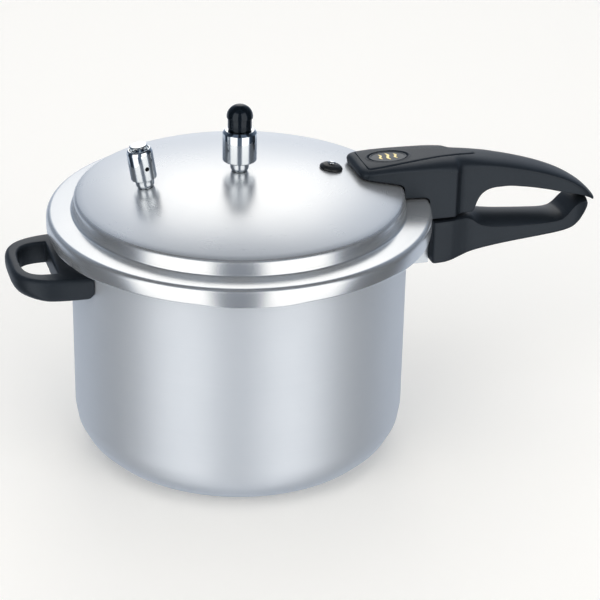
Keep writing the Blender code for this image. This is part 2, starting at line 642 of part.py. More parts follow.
def make_lid_handle(frame, lid):
    strip = [(0.0915, 0.1998), (0.1035, 0.1970), (0.1060, 0.1985), (0.1580, 0.1985), (0.1580, 0.2005),
             (0.1055, 0.2005), (0.1032, 0.1991), (0.0919, 0.2018)]
    upright = Matrix.Rotation(pi / 2, 4, "X")
    strap = flat_prism("lid_handle_bracket", strip, 0.020, upright, "zinc_steel", frame)
    slope = asin(LID_RIVET_X / DOME_RADIUS)
    lean = (sin(slope), 0, cos(slope))
    for i, y in enumerate((-LID_RIVET_Y, LID_RIVET_Y)):
        middle = Vector((LID_RIVET_X, y, dome_height(LID_RIVET_X)))
        ends = (middle - 0.008 * Vector(lean), middle + 0.008 * Vector(lean))
        cutter = rod(f"lid_rivet_cutter_{i + 1}", RIVET_HOLE, *ends, parent=frame)
        cut(lid, cutter)
        cut(strap, cutter)
        start = middle - (LID_WALL + GAP + 0.0001) * Vector(lean)
        rivet(f"lid_bracket_rivet_{i + 1}", start, lean, LID_WALL + PLATE + 4 * GAP, STRAP_RIVET_HEAD,
              "satin_aluminium", frame)
    screw_cutter = rod("lid_screw_cutter", SCREW_HOLE, (LID_SCREW_X, 0, 0.190), (LID_SCREW_X, 0, 0.2070),
                       parent=frame)
    cut(strap, screw_cutter)
    pan_screw("lid_handle_screw", (LID_SCREW_X, 0, 0.1982), (0, 0, 1), 0.0082, 0.0038, "zinc_steel", frame)

    tops = [(0.0840, 0.2050), (0.0850, 0.2064), (0.0880, 0.2078), (0.0960, 0.2084), (0.1150, 0.2088),
            (0.1400, 0.2088), (0.1580, 0.2078), (0.1700, 0.2063), (0.1850, 0.2035), (0.2000, 0.2000),
            (0.2140, 0.1962), (0.2300, 0.1908), (0.2420, 0.1858), (0.2520, 0.1806), (0.2600, 0.1750),
            (0.2660, 0.1698), (0.2700, 0.1650), (0.2720, 0.1612)]
    bottoms = [(0.0840, LID_HANDLE_BOTTOM), (0.1712, LID_HANDLE_BOTTOM), (0.1735, 0.1685),
               (0.1762, 0.1745), (0.1800, 0.1795), (0.1858, 0.1823), (0.1920, 0.1829), (0.2110, 0.1802),
               (0.2300, 0.1758), (0.2460, 0.1710), (0.2580, 0.1676), (0.2660, 0.1642), (0.2720, 0.1598)]
    halves = [(0.0840, 0.0150), (0.0850, 0.0180), (0.0870, 0.0205), (0.0900, 0.0219),
              (0.0960, HANDLE_BLOCK), (0.1565, HANDLE_BLOCK), (0.1590, 0.0175),
              (0.1650, 0.0168), (0.2000, 0.0158), (0.2400, 0.0142), (0.2600, 0.0125), (0.2680, 0.0110),
              (0.2720, 0.0080)]
    stations = sorted({x for x, _ in tops + bottoms + halves})
    grip = loft("lid_handle", stations, tops, bottoms, halves, 0.006, 0.002, "bakelite", frame)
    clearance = [(0.0, DOME_TOP + HANDLE_CLEARANCE)] + lid_outline(HANDLE_CLEARANCE)
    clearance += [(LID_RADIUS + HANDLE_CLEARANCE, 0.160), (0.0, 0.160)]
    cut(grip, turned("lid_clearance_cutter", clearance, steps=BIG_STEPS * 2, parent=frame))
    cut(grip, box("bracket_cavity_cutter", (0.0880, -0.0125, 0.160), (0.1620, 0.0125, 0.2036), parent=frame))
    cut(grip, screw_cutter)
    make_badge(frame, grip)


def ellipse(half_length, half_width, count):
    angles = [2 * pi * i / count for i in range(count)]
    return [(half_length * cos(a), half_width * sin(a)) for a in angles]


def make_badge(frame, grip):
    middle = 0.1100
    length, width = 0.0146, 0.0094
    placed = Matrix.Translation((middle, 0, 0.2082))
    flat_prism("handle_badge", ellipse(length, width, 28), 0.0012, placed, "badge_foil", frame)
    placed = Matrix.Translation((middle, 0, 0.2103))
    recess = ellipse(length + BORE_GAP, width + BORE_GAP, 28)
    cut(grip, flat_prism("badge_recess_cutter", recess, 0.0060, placed, parent=frame))


def main():
    make_pot()
    make_pot_handle()
    make_helper_handle()
    make_rack()
    lid_frame = add_frame("lid_frame")
    lid = make_lid(lid_frame)
    make_vent(lid_frame)
    make_weight()
    lean = asin(FITTING_OFFSET / DOME_RADIUS)
    height = dome_height(FITTING_OFFSET)
    valve_frame = add_frame("valve_frame", (-FITTING_OFFSET, 0, height), -lean)
    plug_frame = add_frame("plug_frame", (FITTING_OFFSET, 0, height), lean)
    for name, frame in (("valve_hole_cutter", valve_frame), ("plug_hole_cutter", plug_frame)):
        cut(lid, rod(name, FITTING_HOLE, (0, 0, -0.008), (0, 0, 0.006), parent=frame))
    make_relief_valve(valve_frame)
    make_plug(plug_frame)
    make_lid_handle(lid_frame, lid)


main()
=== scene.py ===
"""The looks of an aluminium pressure canner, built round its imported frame.

Everything is in metres in the frame's own axes: the pot's base centre is the origin, +Z is up, and the
long pair of handles points to +X. Sizes in the classes are in millimetres, as a maker would write them.
"""

import json
import logging
from collections.abc import Callable, Sequence
from dataclasses import dataclass
from enum import Enum
from math import acos, asin, cos, pi, radians, sin, sqrt, tan

import bmesh
import bpy
import numpy as np
from mathutils import Matrix, Vector


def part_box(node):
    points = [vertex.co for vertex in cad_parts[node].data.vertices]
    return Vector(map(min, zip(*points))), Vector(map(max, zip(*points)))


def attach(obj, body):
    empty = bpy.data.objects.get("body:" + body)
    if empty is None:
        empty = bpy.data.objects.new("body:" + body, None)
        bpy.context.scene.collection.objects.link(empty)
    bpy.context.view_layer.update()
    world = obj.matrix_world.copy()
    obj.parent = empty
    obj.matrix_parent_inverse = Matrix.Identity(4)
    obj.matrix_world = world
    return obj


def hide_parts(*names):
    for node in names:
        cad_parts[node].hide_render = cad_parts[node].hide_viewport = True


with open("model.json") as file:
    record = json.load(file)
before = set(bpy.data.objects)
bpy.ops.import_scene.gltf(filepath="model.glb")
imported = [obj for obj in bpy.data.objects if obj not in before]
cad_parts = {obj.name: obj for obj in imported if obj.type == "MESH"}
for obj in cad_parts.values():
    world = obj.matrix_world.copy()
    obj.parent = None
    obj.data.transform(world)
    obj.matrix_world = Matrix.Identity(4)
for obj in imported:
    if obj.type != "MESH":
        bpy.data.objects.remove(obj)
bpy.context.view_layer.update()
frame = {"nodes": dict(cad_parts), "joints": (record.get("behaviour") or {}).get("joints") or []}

LOG = logging.getLogger("pressure_canner")
MM = 0.001
# Angles in a whole turn: of the pot, the lid and the loop, of a fitting, of a small fitting and of a drill.
WIDE_STEPS = 240
TURN_STEPS = 160
SMALL_STEPS = 96
DRILL_STEPS = 48
SHARP_ANGLE = radians(38)
WELD = 2e-6
FAR_BELOW = -1000.0

Corner = tuple[float, float, float]
Curve = Callable[[np.ndarray], np.ndarray]


class Grain(Enum):
    """How a finish's surface was worked, which sets the pattern in its colour, roughness and bump."""

    SATIN = "etched or blasted, an even fine tooth"
    SPUN = "turned on a lathe, rings about the upright axis"
    MOULDED = "pressed in a mould with a fine spark-eroded tooth"
    BRIGHT = "polished and plated, nearly even"


# ---------------------------------------------------------------------------------------------------
# Curves and surfaces
# ---------------------------------------------------------------------------------------------------


def monotone(knots: Sequence[tuple[float, float]]) -> Curve:
    """A smooth curve through knots that never swings past them.

    Each span is a cubic, and its slope at a knot is the harmonic mean of the two neighbouring chords'
    slopes, or nothing where the chords turn.

    Args:
        knots: (x, y) pairs with x rising.

    Returns:
        A function of an array of x. Past the ends it keeps the end's y.
    """
    x, y = np.array(knots, float).T
    step = np.diff(x)
    chord = np.diff(y) / step
    slope = np.zeros_like(x)
    product = chord[:-1] * chord[1:]
    same = product > 0
    slope[1:-1][same] = 2 * product[same] / (chord[:-1] + chord[1:])[same]
    slope[0], slope[-1] = chord[0], chord[-1]

    def at(values: np.ndarray) -> np.ndarray:
        """The curve's height at each value."""
        values = np.clip(np.asarray(values, float), x[0], x[-1])
        i = np.clip(np.searchsorted(x, values) - 1, 0, len(step) - 1)
        t = (values - x[i]) / step[i]
        rest = 1 - t
        return (
            y[i] * (1 + 2 * t) * rest**2
            + slope[i] * step[i] * t * rest**2
            + y[i + 1] * t**2 * (3 - 2 * t)
            - slope[i + 1] * step[i] * t**2 * rest
        )

    return at


def smooth_step(values: np.ndarray) -> np.ndarray:
    """0 below 0, 1 above 1, and 3t squared less 2t cubed between."""
    t = np.clip(values, 0, 1)
    return t * t * (3 - 2 * t)


def rounded(corners: Sequence[Corner], closed: bool = False, count: int = 5) -> np.ndarray:
    """A flat path whose corners are turned on arcs.

    A corner whose two sides open at an angle a is left fillet / tan(a / 2) before it, and the arc's
    points swing from one tangent point to the other about the arc's centre.

    Args:
        corners: (x, y, fillet) in order. A fillet of nothing keeps the corner.
        closed: whether the last corner joins the first.
        count: spans in each arc.

    Returns:
        The path's points as rows of (x, y).
    """
    points: list[np.ndarray] = []
    total = len(corners)
    for i, (x, y, fillet) in enumerate(corners):
        here = np.array((x, y), float)
        if fillet <= 0 or (not closed and i in (0, total - 1)):
            points.append(here)
            continue
        before = np.array(corners[i - 1][:2], float) - here
        after = np.array(corners[(i + 1) % total][:2], float) - here
        lengths = np.linalg.norm(before), np.linalg.norm(after)
        before, after = before / lengths[0], after / lengths[1]
        half = acos(max(-1.0, min(1.0, float(before @ after)))) / 2
        run = min(fillet / tan(half), 0.49 * lengths[0], 0.49 * lengths[1])
        middle = (before + after) / np.linalg.norm(before + after)
        centre = here + middle * run / cos(half)
        start, end = here + before * run - centre, here + after * run - centre
        swing = pi - 2 * half
        for k in range(count + 1):
            share = k / count
            points.append(centre + (sin((1 - share) * swing) * start + sin(share * swing) * end) / sin(swing))
    return np.array(points)


def surface(
    name: str,
    points: np.ndarray,
    rows_close: bool = False,
    columns_close: bool = True,
    capped: bool = False,
) -> bpy.types.Object:
    """A mesh over a grid of points, with its poles and seams welded and its faces turned outwards.

    Args:
        name: the piece's name.
        points: rows by columns by (x, y, z), in metres.
        rows_close: whether the last row joins the first.
        columns_close: whether the last column joins the first.
        capped: whether the first and last rows are filled with a face.

    Returns:
        The piece, at the origin, unturned and unscaled.
    """
    rows, columns = points.shape[:2]
    index = np.arange(rows * columns).reshape(rows, columns)
    down = np.roll(index, -1, 0) if rows_close else index[1:]
    along = index if rows_close else index[:-1]
    if columns_close:
        corners = (along, np.roll(along, -1, 1), np.roll(down, -1, 1), down)
    else:
        corners = (along[:, :-1], along[:, 1:], down[:, 1:], down[:, :-1])
    faces = np.stack(corners, -1).reshape(-1, 4).tolist()
    if capped:
        faces += [index[0].tolist(), index[-1].tolist()]
    mesh = bpy.data.meshes.new(name)
    mesh.from_pydata(points.reshape(-1, 3).tolist(), [], faces)
    shape = bmesh.new()
    shape.from_mesh(mesh)
    bmesh.ops.remove_doubles(shape, verts=shape.verts, dist=WELD)
    bmesh.ops.recalc_face_normals(shape, faces=shape.faces)
    shape.to_mesh(mesh)
    shape.free()
    mesh.shade_smooth()
    mesh.set_sharp_from_angle(angle=SHARP_ANGLE)
    piece = bpy.data.objects.new(name, mesh)
    bpy.context.scene.collection.objects.link(piece)
    return piece


def placed(points: np.ndarray, place: Matrix) -> np.ndarray:
    """Points turned and moved by a 4 by 4 matrix."""
    full = np.array(place, float)
    return points @ full[:3, :3].T + full[:3, 3]


def turned(
    name: str,
    corners: Sequence[Corner],
    place: Matrix | None = None,
    closed: bool = False,
    steps: int = SMALL_STEPS,
    mixes: Sequence[tuple[Sequence[Corner], Curve]] = (),
    angles: np.ndarray | None = None,
) -> bpy.types.Object:
    """A profile carried round the Z axis: a point is (r cos a, r sin a, z) for each angle a.

    Args:
        name: the piece's name.
        corners: (radius, height, fillet) in millimetres.
        place: where the axis lies.
        closed: whether the profile closes on itself, as a ring's does.
        steps: angles in the whole turn.
        mixes: other profiles with as many corners, each with its share at an angle, from 0 to 1. A share
            of a profile moves each point by that share of the way to it.
        angles: the angles to use instead of even ones.

    Returns:
        The piece.
    """
    profile = rounded(corners, closed) * MM
    if angles is None:
        angles = np.linspace(0, 2 * pi, steps, endpoint=False)
    grid = np.repeat(profile[:, None, :], len(angles), axis=1)
    for other, share in mixes:
        grid = grid + (rounded(other, closed) * MM - profile)[:, None, :] * share(angles)[None, :, None]
    points = np.stack([grid[..., 0] * np.cos(angles), grid[..., 0] * np.sin(angles), grid[..., 1]], -1)
    if place is not None:
        points = placed(points, place)
    return surface(name, points, rows_close=closed)


def drilled(piece: bpy.types.Object, holes: Sequence[tuple[Vector, Vector, float]]) -> bpy.types.Object:
    """The piece with round holes through it, each from a start to an end at a radius in metres."""
    cutters = []
    for start, end, radius in holes:
        turn = (end - start).to_track_quat("Z", "Y").to_matrix().to_4x4()
        place = Matrix.Translation(start) @ turn
        length = (end - start).length / MM
        corners = [(0, length, 0), (radius / MM, length, 0), (radius / MM, 0, 0), (0, 0, 0)]
        cutter = turned("drill", corners, place, steps=DRILL_STEPS)
        cutters.append(cutter)
        modifier = piece.modifiers.new("hole", "BOOLEAN")
        modifier.operation = "DIFFERENCE"
        modifier.solver = "EXACT"
        modifier.object = cutter
    graph = bpy.context.evaluated_depsgraph_get()
    made = bpy.data.meshes.new_from_object(piece.evaluated_get(graph))
    piece.modifiers.clear()
    piece.data = made
    made.set_sharp_from_angle(angle=SHARP_ANGLE)
    for cutter in cutters:
        bpy.data.objects.remove(cutter, do_unlink=True)
    return piece


# ---------------------------------------------------------------------------------------------------
# Finishes
# ---------------------------------------------------------------------------------------------------


def linear(hex_colour: str) -> tuple[float, float, float, float]:
    """The linear colour of an sRGB hex string such as "8a949d"."""
    channels = [int(hex_colour[i : i + 2], 16) / 255 for i in (0, 2, 4)]
    return (*(c / 12.92 if c <= 0.04045 else ((c + 0.055) / 1.055) ** 2.4 for c in channels), 1.0)


def add_node(
    tree: bpy.types.NodeTree,
    kind: str,
    values: dict | None = None,
    links: dict | None = None,
    **settings: object,
) -> bpy.types.Node:
    """One node of a tree.

    Args:
        tree: the material's or world's node tree.
        kind: the node's type name.
        values: the inputs that are set, by name or number.
        links: the sockets that feed its inputs, by name or number.
        settings: the node's own settings.

    Returns:
        The node.
    """
    node = tree.nodes.new(kind)
    for key, value in settings.items():
        setattr(node, key, value)
    for key, value in (values or {}).items():
        node.inputs[key].default_value = value
    for key, socket in (links or {}).items():
        tree.links.new(socket, node.inputs[key])
    return node


@dataclass(frozen=True)
class Finish:
    """A material and how its surface was worked. Lengths are in millimetres and colours sRGB hex.

    The grain's pattern and a broad cloud together drift the colour to the shade, and the roughness by
    the swing either way. The tooth is the pattern's size, the depth its bump, and rings the spacing of
    turning rings. A metal keeps the default IOR. The gloss tints what a plastic reflects. Where there
    is a rim radius, the roughness eases to the rim's past it.
    """

    name: str
    colour: str
    shade: str
    metallic: float
    roughness: float
    grain: Grain
    tooth: float
    depth: float
    swing: float = 0.04
    ior: float = 1.5
    rings: float = 0.0
    gloss: str = "ffffff"
    rim_roughness: float = 0.0
    rim_radius: float = 0.0
    cloud: float = 28.0

    def material(self) -> bpy.types.Material:
        """The Blender material, made the first time it is asked for."""
        if self.name in bpy.data.materials:
            return bpy.data.materials[self.name]
        made = bpy.data.materials.new(self.name)
        made.use_nodes = True
        tree = made.node_tree
        shader = tree.nodes["Principled BSDF"]
        shader.inputs["Metallic"].default_value = self.metallic
        shader.inputs["Specular Tint"].default_value = linear(self.gloss)
        if self.metallic < 0.5:
            shader.inputs["IOR"].default_value = self.ior
        place = add_node(tree, "ShaderNodeTexCoord").outputs["Object"]
        tooth = self._tooth(tree, place)
        size = {"Scale": 1 / (self.cloud * MM), "Detail": 3.0, "Roughness": 0.55}
        cloud = add_node(tree, "ShaderNodeTexNoise", size, {"Vector": place}).outputs["Fac"]
        both = add_node(tree, "ShaderNodeMath", None, {0: cloud, 1: tooth}, operation="ADD").outputs[0]
        blend = add_node(tree, "ShaderNodeMath", {1: 0.5}, {0: both}, operation="MULTIPLY").outputs[0]
        tones = {6: linear(self.colour), 7: linear(self.shade)}
        mix = add_node(tree, "ShaderNodeMix", tones, {0: blend}, data_type="RGBA")
        tree.links.new(mix.outputs[2], shader.inputs["Base Color"])
        bounds = {"To Min": max(0.02, self.roughness - self.swing), "To Max": self.roughness + self.swing}
        worn = add_node(tree, "ShaderNodeMapRange", bounds, {"Value": blend}).outputs[0]
        if self.rim_radius:
            polish = add_node(
                tree,
                "ShaderNodeMapRange",
                {
                    "From Min": (self.rim_radius - 1.0) * MM,
                    "From Max": (self.rim_radius + 2.0) * MM,
                    "To Min": 0.0,
                    "To Max": self.rim_roughness - self.roughness,
                },
                {"Value": self._radius(tree, place)},
                interpolation_type="SMOOTHSTEP",
            ).outputs[0]
            worn = add_node(tree, "ShaderNodeMath", None, {0: worn, 1: polish}, operation="ADD").outputs[0]
        tree.links.new(worn, shader.inputs["Roughness"])
        bump = {"Strength": 1.0, "Distance": self.depth * MM}
        normal = add_node(tree, "ShaderNodeBump", bump, {"Height": tooth}).outputs[0]
        tree.links.new(normal, shader.inputs["Normal"])
        return made

    @staticmethod
    def _radius(tree: bpy.types.NodeTree, place: bpy.types.NodeSocket) -> bpy.types.NodeSocket:
        """The distance from the upright axis: the length of (x, y, 0)."""
        flat = add_node(
            tree, "ShaderNodeVectorMath", {1: (1.0, 1.0, 0.0)}, {0: place}, operation="MULTIPLY"
        ).outputs[0]
        return add_node(tree, "ShaderNodeVectorMath", None, {0: flat}, operation="LENGTH").outputs["Value"]

    def _tooth(self, tree: bpy.types.NodeTree, place: bpy.types.NodeSocket) -> bpy.types.NodeSocket:
        """The fine pattern of the worked surface, from 0 to 1.

        A moulded surface has a cellular tooth broken up by noise, and the others a fine noise. A spun one
        adds rings: noise read at (radius, height), which is the same all the way round.
        """
        grit = 1 / (self.tooth * MM)
        if self.grain is Grain.MOULDED:
            cells = add_node(
                tree, "ShaderNodeTexVoronoi", {"Scale": grit}, {"Vector": place}, feature="SMOOTH_F1"
            ).outputs["Distance"]
            dust = add_node(
                tree, "ShaderNodeTexNoise", {"Scale": 2 * grit, "Detail": 2.0}, {"Vector": place}
            ).outputs["Fac"]
            return add_node(
                tree, "ShaderNodeMath", {2: 0.2}, {0: cells, 1: dust}, operation="MULTIPLY_ADD"
            ).outputs[0]
        fine = add_node(
            tree, "ShaderNodeTexNoise", {"Scale": grit, "Detail": 3.0}, {"Vector": place}
        ).outputs["Fac"]
        if self.grain is not Grain.SPUN:
            return fine
        height = add_node(tree, "ShaderNodeSeparateXYZ", None, {0: place}).outputs["Z"]
        spot = {"X": self._radius(tree, place), "Y": height}
        ring_place = add_node(tree, "ShaderNodeCombineXYZ", None, spot).outputs[0]
        pitch = {"Scale": 1 / (self.rings * MM), "Detail": 2.0}
        rings = add_node(tree, "ShaderNodeTexNoise", pitch, {"Vector": ring_place}).outputs["Fac"]
        half = add_node(tree, "ShaderNodeMath", {1: 0.5}, {0: fine}, operation="MULTIPLY").outputs[0]
        return add_node(
            tree, "ShaderNodeMath", {1: 0.5}, {0: rings, 2: half}, operation="MULTIPLY_ADD"
        ).outputs[0]


# Spun aluminium, etched and sealed: a soft grey-blue metal that blurs what it reflects. The seal's oxide
# is why it isn't fully metallic. Its rings are drawn wider apart than a tool leaves them, so that they show.
POT_SATIN = Finish(
    "etched_spun_aluminium_pot", "d5dae0", "ccd2d9", 0.58, 0.46, Grain.SPUN, 0.45, 0.010, 0.03, rings=0.9
)
# The lid is pressed from the same sheet and buffed finer, most of all on its ring outside the dome.
LID_SATIN = Finish(
    "buffed_pressed_aluminium_lid",
    "dbdddf",
    "d5d8da",
    0.80,
    0.28,
    Grain.SPUN,
    0.40,
    0.002,
    0.03,
    rings=0.8,
    rim_roughness=0.23,
    rim_radius=116.0,
)
# Aluminium left as drawn: rivets and the rack. It has a plain even sheen.
PLAIN_ALUMINIUM = Finish("drawn_aluminium", "c2c8ce", "adb4bb", 1.0, 0.34, Grain.SATIN, 0.5, 0.008)
# Chrome on turned brass: almost a mirror, with the faint haze of handling.
CHROME = Finish("chrome_plated_brass", "dfe3e6", "d3d8dc", 1.0, 0.05, Grain.BRIGHT, 3.0, 0.001, 0.02)
# The bluish bloom that both finishes of phenolic resin give to what they reflect.
BLOOM = "d3e0ef"
# Phenolic resin with wood flour, pressed in a spark-eroded mould: near black, with a dull bloom. The tooth
# is drawn at a millimetre, several times its real size, so that it shows.
BAKELITE = Finish(
    "moulded_phenolic", "20252a", "181c21", 0.0, 0.44, Grain.MOULDED, 1.05, 0.09, 0.06, ior=1.45, gloss=BLOOM
)
# The same resin from a polished mould: black, with sharp highlights.
GLOSS_BAKELITE = Finish(
    "polished_phenolic", "10161c", "0c1116", 0.0, 0.10, Grain.BRIGHT, 2.0, 0.002, 0.03, ior=1.42, gloss=BLOOM
)
# Black anodised foil of the oval plate, with a dull metal sheen.
BADGE_BLACK = Finish("black_anodised_foil", "3a4046", "31363b", 0.35, 0.34, Grain.SATIN, 0.35, 0.006)
# Gold foil blocked on the plate: a pale warm glint.
BADGE_GOLD = Finish("gold_foil", "e8d9a0", "d8c482", 1.0, 0.28, Grain.SATIN, 0.4, 0.004)
# Moulded silicone rubber of the safety plug and washers: black and a little greasy.
BLACK_RUBBER = Finish(
    "black_silicone_rubber", "17191b", "1f2123", 0.0, 0.38, Grain.MOULDED, 0.5, 0.008, 0.05, ior=1.43
)
# Grey nitrile rubber of the gasket, chalky from its talc.
GREY_RUBBER = Finish("grey_nitrile_rubber", "707275", "5f6164", 0.0, 0.62, Grain.MOULDED, 0.7, 0.02, 0.08)
# Zinc plate on pressed steel: a soft bluish metal with a mottled bloom.
ZINC = Finish("zinc_plated_steel", "b9bfc5", "9da4ab", 1.0, 0.30, Grain.SATIN, 0.9, 0.008, 0.08)


def dress(piece: bpy.types.Object, finish: Finish) -> bpy.types.Object:
    """The piece in a finish, in place of any material it had."""
    piece.data.materials.clear()
    piece.data.materials.append(finish.material())
    return piece


def install(piece: bpy.types.Object, body: str, finish: Finish, slot: str, *nodes: str) -> bpy.types.Object:
    """Finishes a new piece, rides it on its body, and hides the frame's nodes that it stands for."""
    dress(piece, finish)
    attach(piece, body)
    if nodes:
        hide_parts(*nodes)
    LOG.info("%s: %d faces", piece.name, len(piece.data.polygons))
    return piece


# ---------------------------------------------------------------------------------------------------
# The pot and the lid
# ---------------------------------------------------------------------------------------------------


@dataclass
class Lugs:
    """The bayonet's lugs, which the pot's rim and the lid's skirt share."""

    count: int = 6
    first: float = 20.0
    span: float = 28.0
    run: float = 0.7

    def share(self, angles: np.ndarray) -> np.ndarray:
        """1 on a lug and 0 between lugs, sloping over a short run at each end."""
        pitch = 360.0 / self.count
        away = np.abs((np.degrees(angles) - self.first + pitch / 2) % pitch - pitch / 2)
        return smooth_step((self.span / 2 - away) / self.run + 0.5)

    def angles(self, steps: int) -> np.ndarray:
        """Even angles with more about each lug's two ends, so that the ends are crisp."""
        pitch = 360.0 / self.count
        middles = self.first + pitch * np.arange(self.count)
        near = np.array([-1.0, -0.5, -0.2, 0.2, 0.5, 1.0]) * self.run
        ends = middles[:, None, None] + np.array([-0.5, 0.5])[:, None] * self.span + near
        even = np.arange(steps) * 360.0 / steps
        return np.radians(np.unique(np.round(np.concatenate([even, ends.ravel() % 360]), 4)))


@dataclass
class Pot:
    """The drawn and spun pot with its flange of lugs."""

    lugs: Lugs
    wall: float = 3.0
    corner: float = 33.0
    lug_thickness: float = 3.3
    rim: float = 125.0
    lug_reach: float = 131.5
    radius: float = 120.0

    def build(self) -> None:
        """A wall, a round corner and a flange whose reach goes between the rim's and the lugs'."""
        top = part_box("pot_body")[1].z / MM
        inner = self.radius - self.wall

        def profile(flange: float) -> list[Corner]:
            """The pot's outline in one upright half plane, with its flange out to a radius."""
            return [
                (0, self.wall, 0), (inner, self.wall, self.corner - self.wall), (inner, top, 0.8),
                (flange, top, 0.9), (flange, top - self.lug_thickness, 0.9),
                (self.radius, top - self.lug_thickness, 1.2), (self.radius, 0, self.corner), (0, 0, 0),
            ]

        piece = turned(
            "pot_shell",
            profile(self.rim),
            mixes=[(profile(self.lug_reach), self.lugs.share)],
            angles=self.lugs.angles(WIDE_STEPS),
        )
        install(piece, "pot", POT_SATIN, "satin_aluminium", "pot_body")


@dataclass
class Lid:
    """The pressed lid: a shallow dome, a steep step, a flat ring and a skirt with tabs turned in."""

    lugs: Lugs
    dome_radius: float = 430.0
    dome_edge: float = 114.7
    wall: float = 2.2
    roll: float = 3.7
    band_slope: float = 84.0
    band_length: float = 6.0
    groove: float = 2.0
    ring_slope: float = 3.0
    edge: float = 3.8
    tab: float = 2.7
    tab_inner: float = 126.5
    rise: float = 1.3
    hole: float = 5.6
    gasket_width: float = 11.0

    def __post_init__(self) -> None:
        """Reads the lid's own top, foot and radius off the frame."""
        low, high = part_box("lid_shell")
        self.radius = high.x / MM
        self.foot = low.z / MM
        self.top = high.z / MM + (self.dome_radius - sqrt(self.dome_radius**2 - self.hole**2))

    def dome_height(self, radius: float) -> float:
        """The height of the dome, a sphere's cap, at a radius."""
        return self.top - self.dome_radius + sqrt(self.dome_radius**2 - radius**2)

    def fitting_place(self, axis: Vector) -> Matrix:
        """The frame of a fitting that stands square to the dome along an axis."""
        centre = Vector((0, 0, (self.top - self.dome_radius) * MM))
        side = Vector((0, 1, 0)).cross(axis).normalized()
        turn = Matrix((side, Vector((0, 1, 0)), axis)).transposed().to_4x4()
        return Matrix.Translation(centre + axis * self.dome_radius * MM) @ turn

    def meridian(self, offset: float) -> list[Corner]:
        """The lid's outside from its middle hole to its skirt, moved out along its normals.

        The dome is an arc. Past it each corner is where two straight runs meet, and moves by the offset
        times the sum of their normals over one plus the normals' product.
        """
        start = asin(self.hole / self.dome_radius)
        end = asin(self.dome_edge / self.dome_radius)
        reach = self.dome_radius + offset
        slopes = np.linspace(start, end, 26)
        foot = self.top - self.dome_radius
        points: list[Corner] = [(reach * sin(s), foot + reach * cos(s), 0.0) for s in slopes[:-1]]
        band, ring = radians(self.band_slope), radians(self.ring_slope)
        runs = (self.roll * tan((band - end) / 2), self.groove * tan((band - ring) / 2))
        here = np.array((self.dome_edge, self.dome_height(self.dome_edge)))
        here = here + runs[0] * np.array((cos(end), -sin(end)))
        corners = [(here, end, band, self.roll + offset)]
        here = here + (runs[0] + self.band_length + runs[1]) * np.array((cos(band), -sin(band)))
        corners.append((here, band, ring, self.groove - offset))
        across = self.radius - here[0]
        here = here + across * np.array((1.0, -tan(ring)))
        corners.append((here, ring, pi / 2, self.edge + offset))
        for point, first, second, fillet in corners:
            before, after = (np.array((sin(s), cos(s))) for s in (first, second))
            moved = point + offset * (before + after) / (1 + before @ after)
            points.append((float(moved[0]), float(moved[1]), fillet))
        return points

    def clearance(self, offset: float) -> Curve:
        """The height of the moved outside at a radius in millimetres, and nothing past the skirt."""
        start, end = (0.0, self.top + offset, 0.0), (self.radius + offset, self.foot - 5.0, 0.0)
        path = rounded([start, *self.meridian(offset), end])
        radius, height = np.maximum.accumulate(path[:-1, 0]), path[:-1, 1]

        def at(values: np.ndarray) -> np.ndarray:
            """The height at each radius."""
            return np.where(values < self.radius + offset, np.interp(values, radius, height), FAR_BELOW)

        return at

    def build(self, drills: Sequence[tuple[Vector, Vector, float]]) -> None:
        """The shell, with the skirt's foot and tabs going in and out with the lugs."""
        inner = self.radius - self.wall

        def profile(tab_inner: float, foot: float) -> list[Corner]:
            """The shell's closed outline with its tabs in to a radius."""
            shelf = self.foot + self.tab
            return [
                *self.meridian(0.0),
                (self.radius, foot, 0.9),
                (tab_inner, foot, 0.3),
                (tab_inner, shelf, 0.3),
                (inner, shelf, 0.3),
                *reversed(self.meridian(-self.wall)),
            ]

        # The skirt's foot dips at each tab, over a longer run than the tab's own ends.
        dip = Lugs(span=self.lugs.span - 4.0, run=11.0)
        plain, high = inner - 0.35, self.foot + self.rise
        piece = turned(
            "lid_dome",
            profile(plain, high),
            closed=True,
            mixes=[(profile(self.tab_inner, high), self.lugs.share), (profile(plain, self.foot), dip.share)],
            angles=self.lugs.angles(WIDE_STEPS),
        )
        drilled(piece, drills)
        install(piece, "lid", LID_SATIN, "satin_aluminium", "lid_shell")
        low, high = (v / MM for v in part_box("sealing_gasket"))
        inner = high.x - self.gasket_width
        gasket = [
            (inner, high.z, 1.2),
            (high.x, high.z, 1.0),
            (high.x, low.z, 1.0),
            (high.x - 4.0, low.z, 0.6),
            (high.x - 5.5, low.z + 1.2, 0.6),
            (inner, low.z, 0.5),
        ]
        ring = turned("sealing_ring", gasket, closed=True, steps=TURN_STEPS)
        install(ring, "lid", GREY_RUBBER, "grey_rubber", "sealing_gasket")


# ---------------------------------------------------------------------------------------------------
# The fittings on the dome
# ---------------------------------------------------------------------------------------------------


def bowl(radius: float, seat: float, top: float, middle: float, foot: float) -> list[Corner]:
    """The outline of a flat-topped ball: r is radius cos a, and z falls as sin a from middle to seat."""
    last = acos(foot / radius)
    drop = middle - seat
    arc = [(radius * cos(a), middle - drop * sin(a) / sin(last), 0.0) for a in np.linspace(0.05, last, 15)]
    return [(radius - 0.4, top, 0.2), (radius, top - 0.5, 0.3), (radius, middle, 0.0), *arc]


